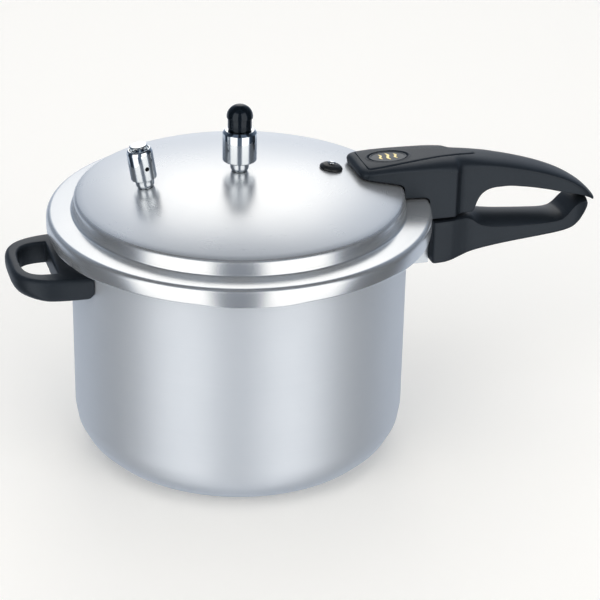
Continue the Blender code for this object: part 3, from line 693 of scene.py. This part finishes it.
@dataclass
class VentAndWeight:
    """The steam vent and the weight that rocks on it."""

    ball: float = 6.6
    tip: float = 3.6
    socket_radius: float = 4.4
    socket_top: float = 231.0

    def build(self) -> None:
        """The vent's tube with its ball collar, and the weight's chrome body and black knob."""
        low, high = (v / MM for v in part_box("vent_tube"))
        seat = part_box("lid_shell")[1].z / MM + 0.35
        tube = [
            (1.4, high.z, 0.1),
            (self.tip - 1.0, high.z, 0.3),
            (self.tip, high.z - 2.2, 0.4),
            (self.tip, seat + 8.6, 0.3),
            *bowl(self.ball, seat - 0.2, seat + 8.4, seat + 3.2, 5.2),
            (5.2, low.z, 0.3),
            (1.4, low.z, 0.1),
        ]
        install(turned("vent_stem", tube, closed=True), "lid", CHROME, "bright_chrome", "vent_tube")
        low, high = (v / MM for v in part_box("weight_body"))
        radius, bore = high.x, 2.6
        body = [
            (bore, high.z, 0.1), (radius - 1.7, high.z, 0.5), (radius, high.z - 2.0, 0.7),
            (radius, low.z + 0.6, 0.9), (radius - 0.8, low.z, 0.6), (self.socket_radius, low.z, 0.3),
            (self.socket_radius, self.socket_top, 0.4), (bore, self.socket_top, 0.2),
        ]
        barrel = turned("weight_barrel", body, closed=True, steps=TURN_STEPS)
        install(barrel, "weight", CHROME, "bright_chrome", "weight_body")
        low, high = (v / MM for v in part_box("weight_knob"))
        radius, lip, seam = high.x - 0.35, high.x + 0.45, high.z - 9.2
        slopes = np.linspace(0, 0.5, 15) * pi
        dome = [(lip * sin(a), seam + 0.6 + 8.6 * cos(a), 0.0) for a in slopes]
        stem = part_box("weight_body")[1].z / MM + 0.3
        knob = [
            *dome,
            (lip, seam - 0.3, 0.15), (radius - 0.15, seam - 0.4, 0.1), (radius, seam - 0.9, 0.2),
            (radius, stem + 1.2, 0.1), (radius - 0.35, stem + 1.1, 0.1), (radius - 0.4, stem, 0.3),
            (2.2, stem, 0.2), (2.2, low.z, 0.1), (0, low.z, 0),
        ]
        cap = turned("weight_cap", knob, steps=TURN_STEPS)
        install(cap, "weight", GLOSS_BAKELITE, "gloss_bakelite", "weight_knob")


@dataclass
class ReliefValve:
    """The leaning spring valve: a barrel with a side port under a notched cap."""

    radius: float = 9.2
    bore: float = 6.8
    rim: float = 29.2
    cap_top: float = 32.2
    cap_radius: float = 6.4
    notches: int = 8
    port_height: float = 16.5
    port_angle: float = -79.0
    port_radius: float = 1.6
    ball: float = 6.6

    def build(self, place: Matrix) -> None:
        """The barrel with its ball neck, the port drilled through its wall, and the cap."""
        r = self.radius
        barrel = [
            (self.bore, self.rim, 0.2),
            (r - 1.5, self.rim, 0.3),
            (r - 0.7, self.rim - 0.6, 0.4),
            (r, self.rim - 2.4, 0.9),
            (r, 7.2, 0.9),
            (r - 1.2, 6.6, 0.4),
            *bowl(self.ball, 0.0, 6.8, 3.2, 5.2),
            (5.2, -10.0, 0.3),
            (2.0, -10.0, 0.2),
            (2.0, 5.0, 0.2),
            (self.bore, 5.0, 0.4),
        ]
        piece = turned("relief_valve_barrel", barrel, place, closed=True, steps=TURN_STEPS)
        angle = radians(self.port_angle)
        out = Vector((cos(angle), sin(angle), 0))
        up = Vector((0, 0, self.port_height * MM))
        start, end = (place @ (out * reach * MM + up) for reach in (3.0, 12.0))
        drilled(piece, [(start, end, self.port_radius * MM)])
        install(piece, "lid", CHROME, "bright_chrome", "relief_valve_body")

        def profile(reach: float) -> list[Corner]:
            """The cap's outline with its side out to a radius above the barrel's rim."""
            return [
                (0, self.cap_top, 0), (self.cap_radius - 0.7, self.cap_top, 0.2),
                (self.cap_radius, self.cap_top - 0.5, 0.2), (self.cap_radius, self.cap_top - 0.8, 0.05),
                (reach, self.cap_top - 0.85, 0.05), (reach, self.rim + 0.35, 0.1),
                (self.cap_radius, self.rim + 0.3, 0.1), (self.cap_radius, self.rim - 3.5, 0.2),
                (0, self.rim - 3.5, 0),
            ]

        pitch = 2 * pi / self.notches

        def notch(angles: np.ndarray) -> np.ndarray:
            """1 in a notch and 0 between."""
            away = np.abs((angles + pi / 2 + radians(15) + pitch / 2) % pitch - pitch / 2)
            return smooth_step((0.17 - away) / 0.04 + 0.5)

        cap = turned(
            "relief_valve_top",
            profile(self.cap_radius),
            place,
            steps=4 * TURN_STEPS,
            mixes=[(profile(self.cap_radius - 1.3), notch)],
        )
        install(cap, "lid", CHROME, "bright_chrome", "relief_valve_cap")


@dataclass
class SafetyPlug:
    """The black rubber plug with the indicator pin in its middle."""

    bore: float = 2.0

    def build(self, place: Matrix) -> None:
        """A low rubber dome with a grooved neck, and the pin's bright head."""
        plug = [
            (self.bore, 3.6, 0.2), (3.4, 3.9, 0.6), (6.2, 3.1, 2.4), (8.1, 1.6, 1.4), (8.4, 0.6, 0.4),
            (8.1, 0.5, 0.1), (5.2, 0.5, 0.2), (5.2, -2.6, 0.3), (7.2, -2.7, 0.4), (6.6, -5.0, 0.5),
            (self.bore, -5.5, 0.3),
        ]
        rubber = turned("safety_plug_rubber", plug, place, closed=True)
        install(rubber, "lid", BLACK_RUBBER, "rubber", "safety_plug")
        pin = [
            (0, 5.6, 0), (2.0, 5.5, 0.4), (2.8, 4.8, 0.3), (2.8, 4.3, 0.1), (1.6, 4.3, 0.1),
            (1.6, -8.9, 0.1), (2.9, -8.9, 0.1), (2.9, -10.3, 0.2), (0, -10.3, 0),
        ]
        install(turned("indicator_pin_head", pin, place), "pin", CHROME, "bright_chrome", "indicator_pin")


# ---------------------------------------------------------------------------------------------------
# The moulded handles
# ---------------------------------------------------------------------------------------------------


@dataclass
class Bar:
    """A moulded bar along X: at each x a top, two side walls and an underside, all height fields.

    At a station x the section runs over the top from +half to -half, down one wall, back along the
    underside, and up the other wall. The top is edge + (crown - edge) (1 - q ** power) ** shoulder,
    where q is |y| over the half width. The walls stand in by the inset, their feet turn on the corner,
    and the underside stays the least thickness below the edge.
    """

    crown: Curve
    edge: Curve
    foot: Curve
    half: Curve
    power: Curve
    inset: float = 0.9
    shoulder: float = 0.5
    across: int = 97
    walls: int = 12
    under: int = 64
    corner: float = 0.9
    least: float = 0.8

    def top(self, x: np.ndarray, y: np.ndarray) -> np.ndarray:
        """The height of the top face."""
        q = np.clip(np.abs(y) / self.half(x), 0, 1)
        swell = np.clip(1 - q ** self.power(x), 0, 1) ** self.shoulder
        return self.edge(x) + (self.crown(x) - self.edge(x)) * swell

    def grid(
        self,
        stations: np.ndarray,
        top: Callable[[np.ndarray, np.ndarray], np.ndarray] | None = None,
        under: Callable[[np.ndarray, np.ndarray], np.ndarray] | None = None,
        marks: Sequence[float] = (),
    ) -> np.ndarray:
        """The bar's points.

        Args:
            stations: the x of each section, in millimetres.
            top: the top's height field, or this bar's own.
            under: the underside's height field, or this bar's foot.
            marks: distances from the middle at which the underside needs a point.

        Returns:
            Stations by section points by (x, y, z), in metres.
        """
        top = top or self.top
        under = under or (lambda x, y: self.foot(x) + 0 * y)
        x = stations[:, None]
        half = self.half(x)
        lean = np.sin(np.linspace(1, -1, self.across) * pi / 2)[None, :]
        y_top = lean * half
        z_top = top(x + 0 * y_top, y_top)
        side = half - np.minimum(self.inset, 0.1 * half)
        foot_side = np.minimum(under(x, side), self.edge(x) - self.least)
        share = np.linspace(0, 1, self.walls)[None, :]
        room = np.minimum(self.corner, 0.4 * (self.edge(x) - foot_side))
        z_wall = (self.edge(x) - 0.35) * (1 - share) + (foot_side + room) * share
        bend = np.linspace(0, pi / 2, 5)[None, 1:]
        y_bend = side - room * (1 - np.cos(bend))
        z_bend = foot_side + room * (1 - np.sin(bend))
        inner = side - room
        spots = np.linspace(-1, 1, self.under)[None, :] * inner * 0.999
        if len(marks):
            extra = np.array(sorted({-m for m in marks} | set(marks)))[None, :] + 0 * inner
            spots = np.sort(np.concatenate([spots, np.clip(extra, -inner * 0.998, inner * 0.998)], 1), 1)
        z_under = np.minimum(under(x + 0 * spots, spots), self.edge(x) - self.least)
        wall = side + 0 * z_wall
        y = np.concatenate([y_top, -wall, -y_bend, spots, y_bend[:, ::-1], wall], 1)
        z = np.concatenate([z_top, z_wall, z_bend, z_under, z_bend[:, ::-1], z_wall[:, ::-1]], 1)
        return np.stack([x + 0 * y, y, z], -1) * MM


def stations(marks: Sequence[float], pitch: float, closer: Sequence[Corner] = ()) -> np.ndarray:
    """Even stations from the first mark to the last, with each mark and closer (low, high, step) spans."""
    parts = [np.arange(marks[0], marks[-1], pitch), np.array(marks, float)]
    parts += [np.arange(low, high, step) for low, high, step in closer]
    return np.unique(np.round(np.concatenate(parts), 3))


@dataclass
class LidHandle:
    """The lid's handle: a capped block over the dome and ring, running out to a beaked grip."""

    lid: Lid
    badge_x: float = 110.0
    badge_long: float = 14.6
    badge_wide: float = 9.4
    panel_start: float = 89.6
    panel_end: float = 176.0
    # The bracket's pocket: its two ends, its half width and its ceiling.
    cavity: tuple[float, float, float, float] = (88.0, 162.0, 12.5, 203.6)

    def __post_init__(self) -> None:
        """The bar's curves, in millimetres along X from the nose to the beak."""
        low, high = (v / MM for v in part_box("lid_handle"))
        self.nose, self.beak = low.x, high.x
        lift = high.z - 208.8

        def curve(*knots: tuple[float, float]) -> Curve:
            """A height curve, moved with the frame's handle."""
            return monotone([(x, z + lift) for x, z in knots])

        self.bar = Bar(
            crown=curve(
                (84.0, 204.6), (84.6, 206.0), (86.0, 207.1), (88.5, 207.8), (93.0, 208.2), (100.0, 208.5),
                (115.0, 208.8), (140.0, 208.8), (158.0, 207.8), (170.0, 206.2), (185.0, 203.4),
                (200.0, 200.0), (214.0, 196.1), (230.0, 190.8), (242.0, 185.8), (252.0, 180.6),
                (260.0, 175.3), (266.0, 169.9), (270.0, 165.2), (272.0, 161.6),
            ),
            edge=curve(
                (84.0, 203.4), (89.0, 203.8), (96.0, 204.4), (104.0, 204.8), (114.0, 204.7), (122.0, 204.4),
                (140.0, 203.0), (150.0, 201.6), (156.0, 200.4), (160.0, 199.6), (165.0, 200.0),
                (172.0, 200.3), (185.0, 199.4), (196.0, 197.2), (214.0, 192.9), (228.0, 188.6),
                (246.0, 181.4), (256.0, 175.2), (262.0, 170.6), (267.0, 165.4), (270.5, 162.4),
                (272.0, 160.6),
            ),
            foot=curve(
                (84.0, 165.5), (168.5, 165.5), (170.6, 165.7), (171.8, 166.3), (172.6, 167.6),
                (173.2, 169.6), (174.4, 173.0), (176.4, 176.8), (179.5, 179.9), (183.5, 181.8),
                (189.0, 182.7), (196.0, 182.7), (211.0, 180.6), (230.0, 176.2), (246.0, 171.3),
                (258.0, 167.8), (266.0, 164.0), (270.0, 161.2), (272.0, 159.6),
            ),
            half=monotone([
                (84.0, 14.6), (84.3, 16.4), (85.2, 18.6), (87.0, 20.6), (89.5, 21.8), (94.0, 22.4),
                (100.0, 22.5), (154.6, 22.5), (156.0, 22.2), (157.4, 21.0), (159.0, 19.2), (161.0, 17.9),
                (165.0, 17.1), (175.0, 16.7), (200.0, 15.8), (240.0, 14.2), (255.0, 12.9), (263.0, 11.2),
                (268.0, 8.8), (270.8, 6.0), (272.0, 2.6),
            ]),
            power=monotone([
                (84.0, 4.6), (110.0, 4.2), (150.0, 3.6), (180.0, 2.7), (240.0, 2.4), (272.0, 2.2),
            ]),
        )
        self.panel = monotone([
            (89.6, 0.0), (89.7, 8.0), (90.0, 14.6), (90.6, 16.8), (92.0, 17.4), (98.0, 17.3), (106.0, 16.4),
            (117.0, 14.6), (130.0, 12.1), (145.0, 9.2), (158.0, 6.4), (167.0, 4.1), (172.0, 2.7),
            (174.6, 1.7), (175.7, 0.9), (176.0, 0.0),
        ])

    def top(self, x: np.ndarray, y: np.ndarray) -> np.ndarray:
        """The capped top with its teardrop panel, the groove round it, and the badge's oval recess.

        The distance from the panel's edge is |y| less its half width, over the slope's length. The panel
        stands proud by a smooth step of that, and the groove is a bell curve about it. The recess is a
        smooth step of the distance inside the oval, with a bell curve for its raised lip.
        """
        width = self.panel(x)
        slope = (self.panel(x + 0.05) - self.panel(x - 0.05)) / 0.1
        beyond = np.maximum(np.maximum(self.panel_start - x, x - self.panel_end), 0)
        away = (np.abs(y) - width) / np.sqrt(1 + slope**2) + beyond
        raised = 0.45 * smooth_step(0.5 - away / 0.8) - 0.42 * np.exp(-((away / 0.5) ** 2))
        oval = np.sqrt(((x - self.badge_x) / self.badge_long) ** 2 + (y / self.badge_wide) ** 2)
        inside = (1 - oval) * (self.badge_long + self.badge_wide) / 2
        recess = -0.95 * smooth_step(inside / 0.5 + 1.1) + 0.25 * np.exp(-(((inside + 1.35) / 0.5) ** 2))
        return self.bar.top(x, y) + raised + recess

    def under(self, x: np.ndarray, y: np.ndarray) -> np.ndarray:
        """The underside: the foot, the lid's outside a millimetre off, or the bracket's pocket."""
        clear = self.lid.clearance(1.0)
        height = np.maximum(self.bar.foot(x), clear(np.hypot(x, y)))
        low, high, wide, ceiling = self.cavity
        inside = (x > low) & (x < high) & (np.abs(y) < wide)
        return np.where(inside, np.maximum(height, ceiling), height)

    def build(self) -> None:
        """The handle, its oval badge and the badge's gold mark."""
        low, high, wide, _ = self.cavity
        marks = (self.nose, low - 0.02, low + 0.02, high - 0.02, high + 0.02, self.beak)
        closer = [
            (self.nose, 93.0, 0.25), (93.0, 127.0, 0.45), (135.5, 138.2, 0.2), (153.0, 163.0, 0.35),
            (168.0, 186.0, 0.4), (262.0, self.beak, 0.4),
        ]
        rows = stations(marks, 0.9, closer)
        points = self.bar.grid(rows, self.top, self.under, marks=(wide - 0.02, wide + 0.02))
        install(surface("lid_grip", points, capped=True), "lid", BAKELITE, "bakelite", "lid_handle")
        self.badge()

    def badge(self) -> None:
        """The oval plate, a shallow crown inside a raised rim, and three gold wisps of steam on it.

        The plate is a turned profile drawn out to an oval. A wisp is a flat ribbon whose middle line
        is a sine wave and whose ends come to a point.
        """
        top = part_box("handle_badge")[1].z
        ratio = self.badge_wide / self.badge_long
        place = Matrix.Translation((self.badge_x * MM, 0, top)) @ Matrix.Diagonal((1, ratio, 1, 1))
        reach = self.badge_long - 0.5
        plate = [
            (0, 0.10, 0), (reach * 0.45, 0.07, 3.0), (reach - 1.7, -0.12, 0.4), (reach - 1.1, 0.16, 0.2),
            (reach - 0.4, 0.12, 0.2), (reach, -0.3, 0.2), (reach, -1.0, 0.1), (0, -1.0, 0),
        ]
        oval = turned("badge_plate", plate, place, steps=TURN_STEPS)
        install(oval, "lid", BADGE_BLACK, "badge_foil", "handle_badge")
        along = np.linspace(-1, 1, 49)
        for i, (middle, length, wide) in enumerate(((-5.6, 4.2, 0.85), (0.0, 5.8, 1.0), (5.6, 4.2, 0.85))):
            y = along * length
            x = self.badge_x + middle + 0.75 * np.sin(along * pi * 1.15)
            half = wide * np.sqrt(np.clip(1 - along**2, 0, 1)) + 0.02
            sides = np.array([1.0, 1.0, -1.0, -1.0])
            lifts = np.array([-0.10, 0.06, 0.06, -0.10])
            across, level = x[:, None] + half[:, None] * sides, top / MM + 0.07 + lifts
            points = np.stack([across, y[:, None] + 0 * sides, level + 0 * across], -1) * MM
            wisp = surface(f"badge_wisp_{i + 1}", points, capped=True)
            install(wisp, "lid", BADGE_GOLD, "badge_foil")


@dataclass
class PotHandle:
    """The pot's handle: a root block under the lid's, and a bar whose end curls up under the beak."""

    def build(self) -> None:
        """The bar between its round top and its flat sides."""
        low, high = (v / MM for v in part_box("pot_handle"))
        bar = Bar(
            crown=monotone([
                (low.x, 163.6), (166.0, 163.4), (171.0, 162.8), (178.0, 160.9), (185.0, 159.7),
                (194.0, 158.4), (208.0, 157.0), (228.0, 154.8), (240.0, 153.4), (244.0, 153.7),
                (247.5, 155.6), (250.5, 158.6), (253.5, 161.4), (256.5, 163.0), (261.0, 163.8),
                (264.5, 163.2), (266.2, 161.8), (high.x, 160.4),
            ]),
            edge=monotone([
                (low.x, 162.9), (164.0, 162.6), (169.0, 161.2), (173.0, 158.6), (176.0, 156.2),
                (180.0, 154.2), (187.0, 152.3), (198.0, 151.0), (212.0, 150.2), (228.0, 150.0),
                (238.0, 150.4), (243.0, 151.4), (247.0, 154.2), (250.5, 158.0), (254.5, 161.2),
                (259.0, 162.4), (263.5, 161.6), (high.x, 157.8),
            ]),
            foot=monotone([
                (low.x, 131.3), (140.4, 130.1), (142.4, 129.6), (148.0, 129.7), (155.0, 130.5),
                (162.0, 132.0), (172.0, 134.2), (184.0, 135.9), (202.0, 137.6), (228.0, 139.6),
                (243.0, 141.0), (251.0, 142.6), (256.5, 145.6), (261.0, 150.2), (264.6, 154.4),
                (high.x, 157.2),
            ]),
            half=monotone([
                (low.x, 21.6), (140.2, 22.3), (141.4, 22.5), (148.0, 22.4), (153.0, 21.9), (158.0, 20.7),
                (163.0, 19.3), (168.0, 18.1), (174.0, 17.3), (182.0, 16.8), (200.0, 15.9), (240.0, 14.8),
                (252.0, 13.8), (260.0, 11.8), (264.6, 9.0), (266.0, 7.0), (high.x, 4.6),
            ]),
            power=monotone([
                (low.x, 12.0), (168.0, 9.0), (174.0, 3.4), (182.0, 2.2), (236.0, 2.1), (250.0, 2.6),
                (high.x, 2.4),
            ]),
            inset=0.3,
            shoulder=0.85,
            corner=2.4,
        )
        closer = [(low.x, 143.0, 0.35), (153.0, 186.0, 0.45), (238.0, high.x, 0.5)]
        rows = stations((low.x, high.x), 0.9, closer)
        grip = surface("pot_grip", bar.grid(rows), capped=True)
        install(grip, "pot", BAKELITE, "bakelite", "pot_handle")


@dataclass
class HelperHandle:
    """The loop handle opposite: a D in plan with a round bow and a straight finger hole."""

    squareness: float = 0.62
    root: float = -113.5
    hole_root: float = -136.0
    hole_reach: float = -158.5
    hole_half: float = 25.5
    pot_gap: float = 120.6
    spans: int = 8

    def build(self) -> None:
        """A section swept round the loop.

        At an angle round the finger hole's middle the loop lies between the hole's outline and the
        outer outline, which is kept off the pot. The section between them is an oblong with a round
        corner at each of its four turns. The outer foot's corner swells to a belly towards the bow.
        """
        low, high = (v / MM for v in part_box("helper_handle"))
        angle = np.linspace(0, 2 * pi, WIDE_STEPS, endpoint=False)
        middle = (self.hole_root + self.hole_reach) / 2
        inner = self.outline(angle, middle, self.hole_root, self.hole_reach, self.hole_half)
        outer = self.outline(angle, middle, self.root, low.x, high.y)
        outer = outer * np.maximum(self.pot_gap / np.linalg.norm(outer, axis=1), 1)[:, None]
        foot = low.z + 1.6 + 4.0 * smooth_step((outer[:, 0] + 116.0) / 6.0)
        belly = 4.6 + 5.4 * smooth_step((-outer[:, 0] - 142.0) / 20.0)
        direction = (outer - inner) / np.linalg.norm(outer - inner, axis=1)[:, None]
        top = np.full_like(foot, high.z)
        columns = []
        for base, level, fillet, sign_in, sign_up, start in (
            (inner, top, 2.6, 1, 1, 180.0),
            (outer, top, 4.2, -1, 1, 90.0),
            (outer, foot, belly, -1, -1, 0.0),
            (inner, foot, 2.2, 1, -1, -90.0),
        ):
            for k in range(self.spans + 1):
                swing = radians(start - 90.0 * k / self.spans)
                out = fillet * (sign_in + cos(swing))
                up = fillet * (sin(swing) - sign_up)
                spot = base + direction * np.reshape(out, (-1, 1))
                columns.append(np.column_stack([spot, level + up]))
        loop = surface("helper_loop", np.stack(columns, 1) * MM, rows_close=True)
        install(loop, "pot", BAKELITE, "bakelite", "helper_handle")

    def outline(self, angle: np.ndarray, middle: float, root: float, reach: float, half: float) -> np.ndarray:
        """The D where rays from the middle meet it, by bisection along each ray.

        On the bow side it is |u| ** n + |v| ** n = 1, where n is 2 over the squareness and u and v are the
        shares of the reach and half width. On the root side it is a straight wall at the root.
        """
        low, high = np.zeros_like(angle), np.full_like(angle, 90.0)
        exponent = 2 / self.squareness
        for _ in range(40):
            guess = (low + high) / 2
            x = middle + guess * np.cos(angle)
            u = np.clip((root - x) / (root - reach), 0, None)
            v = np.abs(guess * np.sin(angle)) / half
            inside = (x < root) & (u**exponent + v**exponent < 1)
            low, high = np.where(inside, guess, low), np.where(inside, high, guess)
        guess = (low + high) / 2
        return np.column_stack([middle + guess * np.cos(angle), guess * np.sin(angle)])


# ---------------------------------------------------------------------------------------------------
# The studio
# ---------------------------------------------------------------------------------------------------


@dataclass
class Studio:
    """A pale floor, a soft light, the surroundings that the metal reflects, and the camera."""

    eye: tuple[float, float, float] = (-0.3420, -1.2765, 0.7639)
    heading: float = 15.0
    pitch: float = 25.015
    roll: float = 0.4
    lens: float = 122.03
    shift: tuple[float, float] = (0.1017, -0.0833)
    floor_half: float = 9.0
    floor_drop: float = 0.0002
    lamp_height: float = 3.2
    lamp_size: float = 5.0
    lamp_power: float = 95.0
    brightest: float = 4.0

    def build(self) -> None:
        """Everything that isn't the object."""
        self.camera()
        self.floor()
        self.world()
        self.lamp()

    def camera(self) -> None:
        """The camera, looking down its heading with its roll about the line of sight."""
        data = bpy.data.cameras.new("camera")
        data.lens = self.lens
        data.sensor_width = 36.0
        data.shift_x, data.shift_y = self.shift
        data.clip_start, data.clip_end = 0.05, 50.0
        camera = bpy.data.objects.new("camera", data)
        bpy.context.scene.collection.objects.link(camera)
        turn = (
            Matrix.Rotation(-radians(self.heading), 4, "Z")
            @ Matrix.Rotation(radians(90 - self.pitch), 4, "X")
            @ Matrix.Rotation(radians(self.roll), 4, "Z")
        )
        camera.matrix_world = Matrix.Translation(self.eye) @ turn
        bpy.context.scene.camera = camera

    def floor(self) -> None:
        """A pale matt floor, left out of reflections so that the surroundings shape the metal."""
        spots = np.array([-self.floor_half, self.floor_half])
        x, y = np.meshgrid(spots, spots, indexing="ij")
        floor = surface("floor", np.stack([x, y, 0 * x - self.floor_drop], -1), columns_close=False)
        # Coated paper: a warm white with a faint fibre, and a little light of its own to lift its shade.
        material = bpy.data.materials.new("pale_paper")
        material.use_nodes = True
        tree = material.node_tree
        shader = tree.nodes["Principled BSDF"]
        place = add_node(tree, "ShaderNodeTexCoord").outputs["Object"]
        size = {"Scale": 90.0, "Detail": 4.0}
        fibre = add_node(tree, "ShaderNodeTexNoise", size, {"Vector": place}).outputs["Fac"]
        tones = {6: linear("fbf8f2"), 7: linear("f8f5ef")}
        mix = add_node(tree, "ShaderNodeMix", tones, {0: fibre}, data_type="RGBA")
        tree.links.new(mix.outputs[2], shader.inputs["Base Color"])
        shader.inputs["Roughness"].default_value = 0.9
        shader.inputs["Emission Color"].default_value = linear("ffffff")
        shader.inputs["Emission Strength"].default_value = 0.13
        floor.data.materials.append(material)
        floor.visible_glossy = False

    def world(self) -> None:
        """The surroundings as the metal sees them, by direction from the object.

        Two broad soft boxes stand to the left and right of the camera with a grey gap between and dark
        flags beyond. A bright backdrop stands behind, and the paper's glow lies below the horizon at
        the sides and behind. Each is a window round the horizon times a window up and down, with soft
        edges, and the three are added.
        """
        world = bpy.data.worlds.new("studio")
        bpy.context.scene.world = world
        world.use_nodes = True
        tree = world.node_tree
        tree.nodes.clear()
        way = add_node(tree, "ShaderNodeTexCoord").outputs["Generated"]
        spin = {"Axis": (0, 0, 1), "Angle": radians(self.heading)}
        ahead = add_node(tree, "ShaderNodeVectorRotate", spin, {"Vector": way}).outputs[0]
        split = add_node(tree, "ShaderNodeSeparateXYZ", None, {0: ahead}).outputs
        near = add_node(tree, "ShaderNodeMath", {1: -1.0}, {0: split["Y"]}, operation="MULTIPLY").outputs[0]
        side = add_node(tree, "ShaderNodeMath", None, {0: split["X"]}, operation="ABSOLUTE").outputs[0]
        turn = add_node(tree, "ShaderNodeMath", None, {0: side, 1: near}, operation="ARCTAN2").outputs[0]
        share = add_node(tree, "ShaderNodeMath", {1: pi}, {0: turn}, operation="DIVIDE").outputs[0]
        tilt = add_node(tree, "ShaderNodeMath", None, {0: split["Z"]}, operation="ARCSINE").outputs[0]
        bounds = {"From Min": -pi / 2, "From Max": pi / 2}
        level = add_node(tree, "ShaderNodeMapRange", bounds, {"Value": tilt}).outputs[0]
        # Each window is (its stops round the horizon, its stops up and down). The first are in degrees
        # from the camera's side, and the second in degrees from straight down.
        soft_boxes = (
            [(0, 0.24), (12, 0.26), (18, 1.9), (58, 1.8), (72, 0.12), (95, 0.06), (180, 0.06)],
            [(0, 0.55), (40, 0.85), (75, 1.0), (128, 1.0), (142, 0.14), (180, 0.10)],
        )
        paper_glow = (
            [(0, 0.0), (104, 0.0), (124, 0.85), (180, 1.0)],
            [(0, 0.5), (50, 0.9), (82, 0.9), (94, 0.35), (106, 0.0), (180, 0.0)],
        )
        backdrop = (
            [(0, 0.0), (90, 0.0), (148, 0.18), (160, 0.45), (171, 1.0), (180, 1.0)],
            [(0, 0.06), (74, 0.10), (88, 0.45), (98, 0.9), (108, 1.5), (118, 1.85), (129, 1.9), (135, 1.7),
             (143, 0.55), (151, 0.14), (180, 0.10)],
        )
        total = add_node(tree, "ShaderNodeValue").outputs[0]
        total.default_value = 0.0
        for around, upright in (soft_boxes, paper_glow, backdrop):
            window = {0: self.ramp(tree, share, around), 1: self.ramp(tree, level, upright), 2: total}
            total = add_node(tree, "ShaderNodeMath", None, window, operation="MULTIPLY_ADD").outputs[0]
        # The dim parts of the studio are bluer than the lit ones.
        warmth = add_node(
            tree, "ShaderNodeMath", {1: 0.55}, {0: total}, operation="MULTIPLY", use_clamp=True
        ).outputs[0]
        tones = {6: linear("a6c2e6"), 7: linear("fffcf8")}
        tint = add_node(tree, "ShaderNodeMix", tones, {0: warmth}, data_type="RGBA").outputs[2]
        glow = add_node(tree, "ShaderNodeBackground", None, {"Color": tint, "Strength": total}).outputs[0]
        add_node(tree, "ShaderNodeOutputWorld", None, {0: glow})

    def ramp(
        self, tree: bpy.types.NodeTree, value: bpy.types.NodeSocket, stops: Sequence[tuple[float, float]]
    ) -> bpy.types.NodeSocket:
        """A brightness that eases through stops of (degrees out of 180, brightness).

        A colour ramp holds from 0 to 1, so the stops are over the brightest and multiplied back.
        """
        node = add_node(tree, "ShaderNodeValToRGB", None, {0: value})
        node.color_ramp.interpolation = "EASE"
        points = node.color_ramp.elements
        for i, (angle, bright) in enumerate(stops):
            point = points[i] if i < 2 else points.new(1.0)
            point.position = angle / 180
            point.color = (*[bright / self.brightest] * 3, 1)
        scale = {1: self.brightest}
        return add_node(tree, "ShaderNodeMath", scale, {0: node.outputs[0]}, operation="MULTIPLY").outputs[0]

    def lamp(self) -> None:
        """A broad soft light overhead for the floor, kept out of the view and out of reflections."""
        data = bpy.data.lights.new("overhead", "AREA")
        data.size, data.energy = self.lamp_size, self.lamp_power
        light = bpy.data.objects.new("overhead", data)
        bpy.context.scene.collection.objects.link(light)
        light.matrix_world = Matrix.Translation((0.0, 0.0, self.lamp_height))
        light.visible_camera = False
        light.visible_glossy = False


# ---------------------------------------------------------------------------------------------------
# The whole
# ---------------------------------------------------------------------------------------------------

# The frame's own nodes that are shown as they are, with the finish of each.
CARRIED = {
    PLAIN_ALUMINIUM: (
        "canning_rack",
        "pot_bracket_rivet_1",
        "pot_bracket_rivet_2",
        "helper_bracket_rivet_1",
        "helper_bracket_rivet_2",
        "lid_bracket_rivet_1",
        "lid_bracket_rivet_2",
    ),
    ZINC: (
        "pot_handle_bracket",
        "pot_handle_screw",
        "helper_bracket",
        "helper_handle_screw",
        "lid_handle_bracket",
        "lid_handle_screw",
        "relief_spring",
        "relief_poppet",
        "weight_needle",
    ),
    CHROME: ("vent_nut", "relief_valve_nut"),
    BLACK_RUBBER: ("vent_washer", "relief_valve_washer"),
}


def joint_axis(name: str) -> Vector:
    """The axis of one of the frame's joints, pointing up."""
    axis = next(Vector(j["axis"]) for j in frame["joints"] if j["name"] == name)
    return axis.normalized() if axis.z > 0 else -axis.normalized()


def main() -> None:
    """Builds the pieces in order, dresses the carried nodes, and sets the studio."""
    logging.basicConfig(level=logging.INFO, format="%(message)s")
    bpy.context.scene.view_settings.view_transform = "Standard"
    lugs = Lugs()
    lid = Lid(lugs)
    valve_place = lid.fitting_place(joint_axis("relief_lift"))
    plug_place = lid.fitting_place(joint_axis("pin_rise"))
    drills = [
        (place @ Vector((0, 0, -0.008)), place @ Vector((0, 0, 0.006)), lid.hole * MM)
        for place in (valve_place, plug_place)
    ]
    Pot(lugs).build()
    lid.build(drills)
    VentAndWeight().build()
    ReliefValve().build(valve_place)
    SafetyPlug().build(plug_place)
    LidHandle(lid).build()
    PotHandle().build()
    HelperHandle().build()
    for finish, nodes in CARRIED.items():
        for node in nodes:
            dress(frame["nodes"][node], finish)
    Studio().build()


if __name__ == "__main__":
    main()
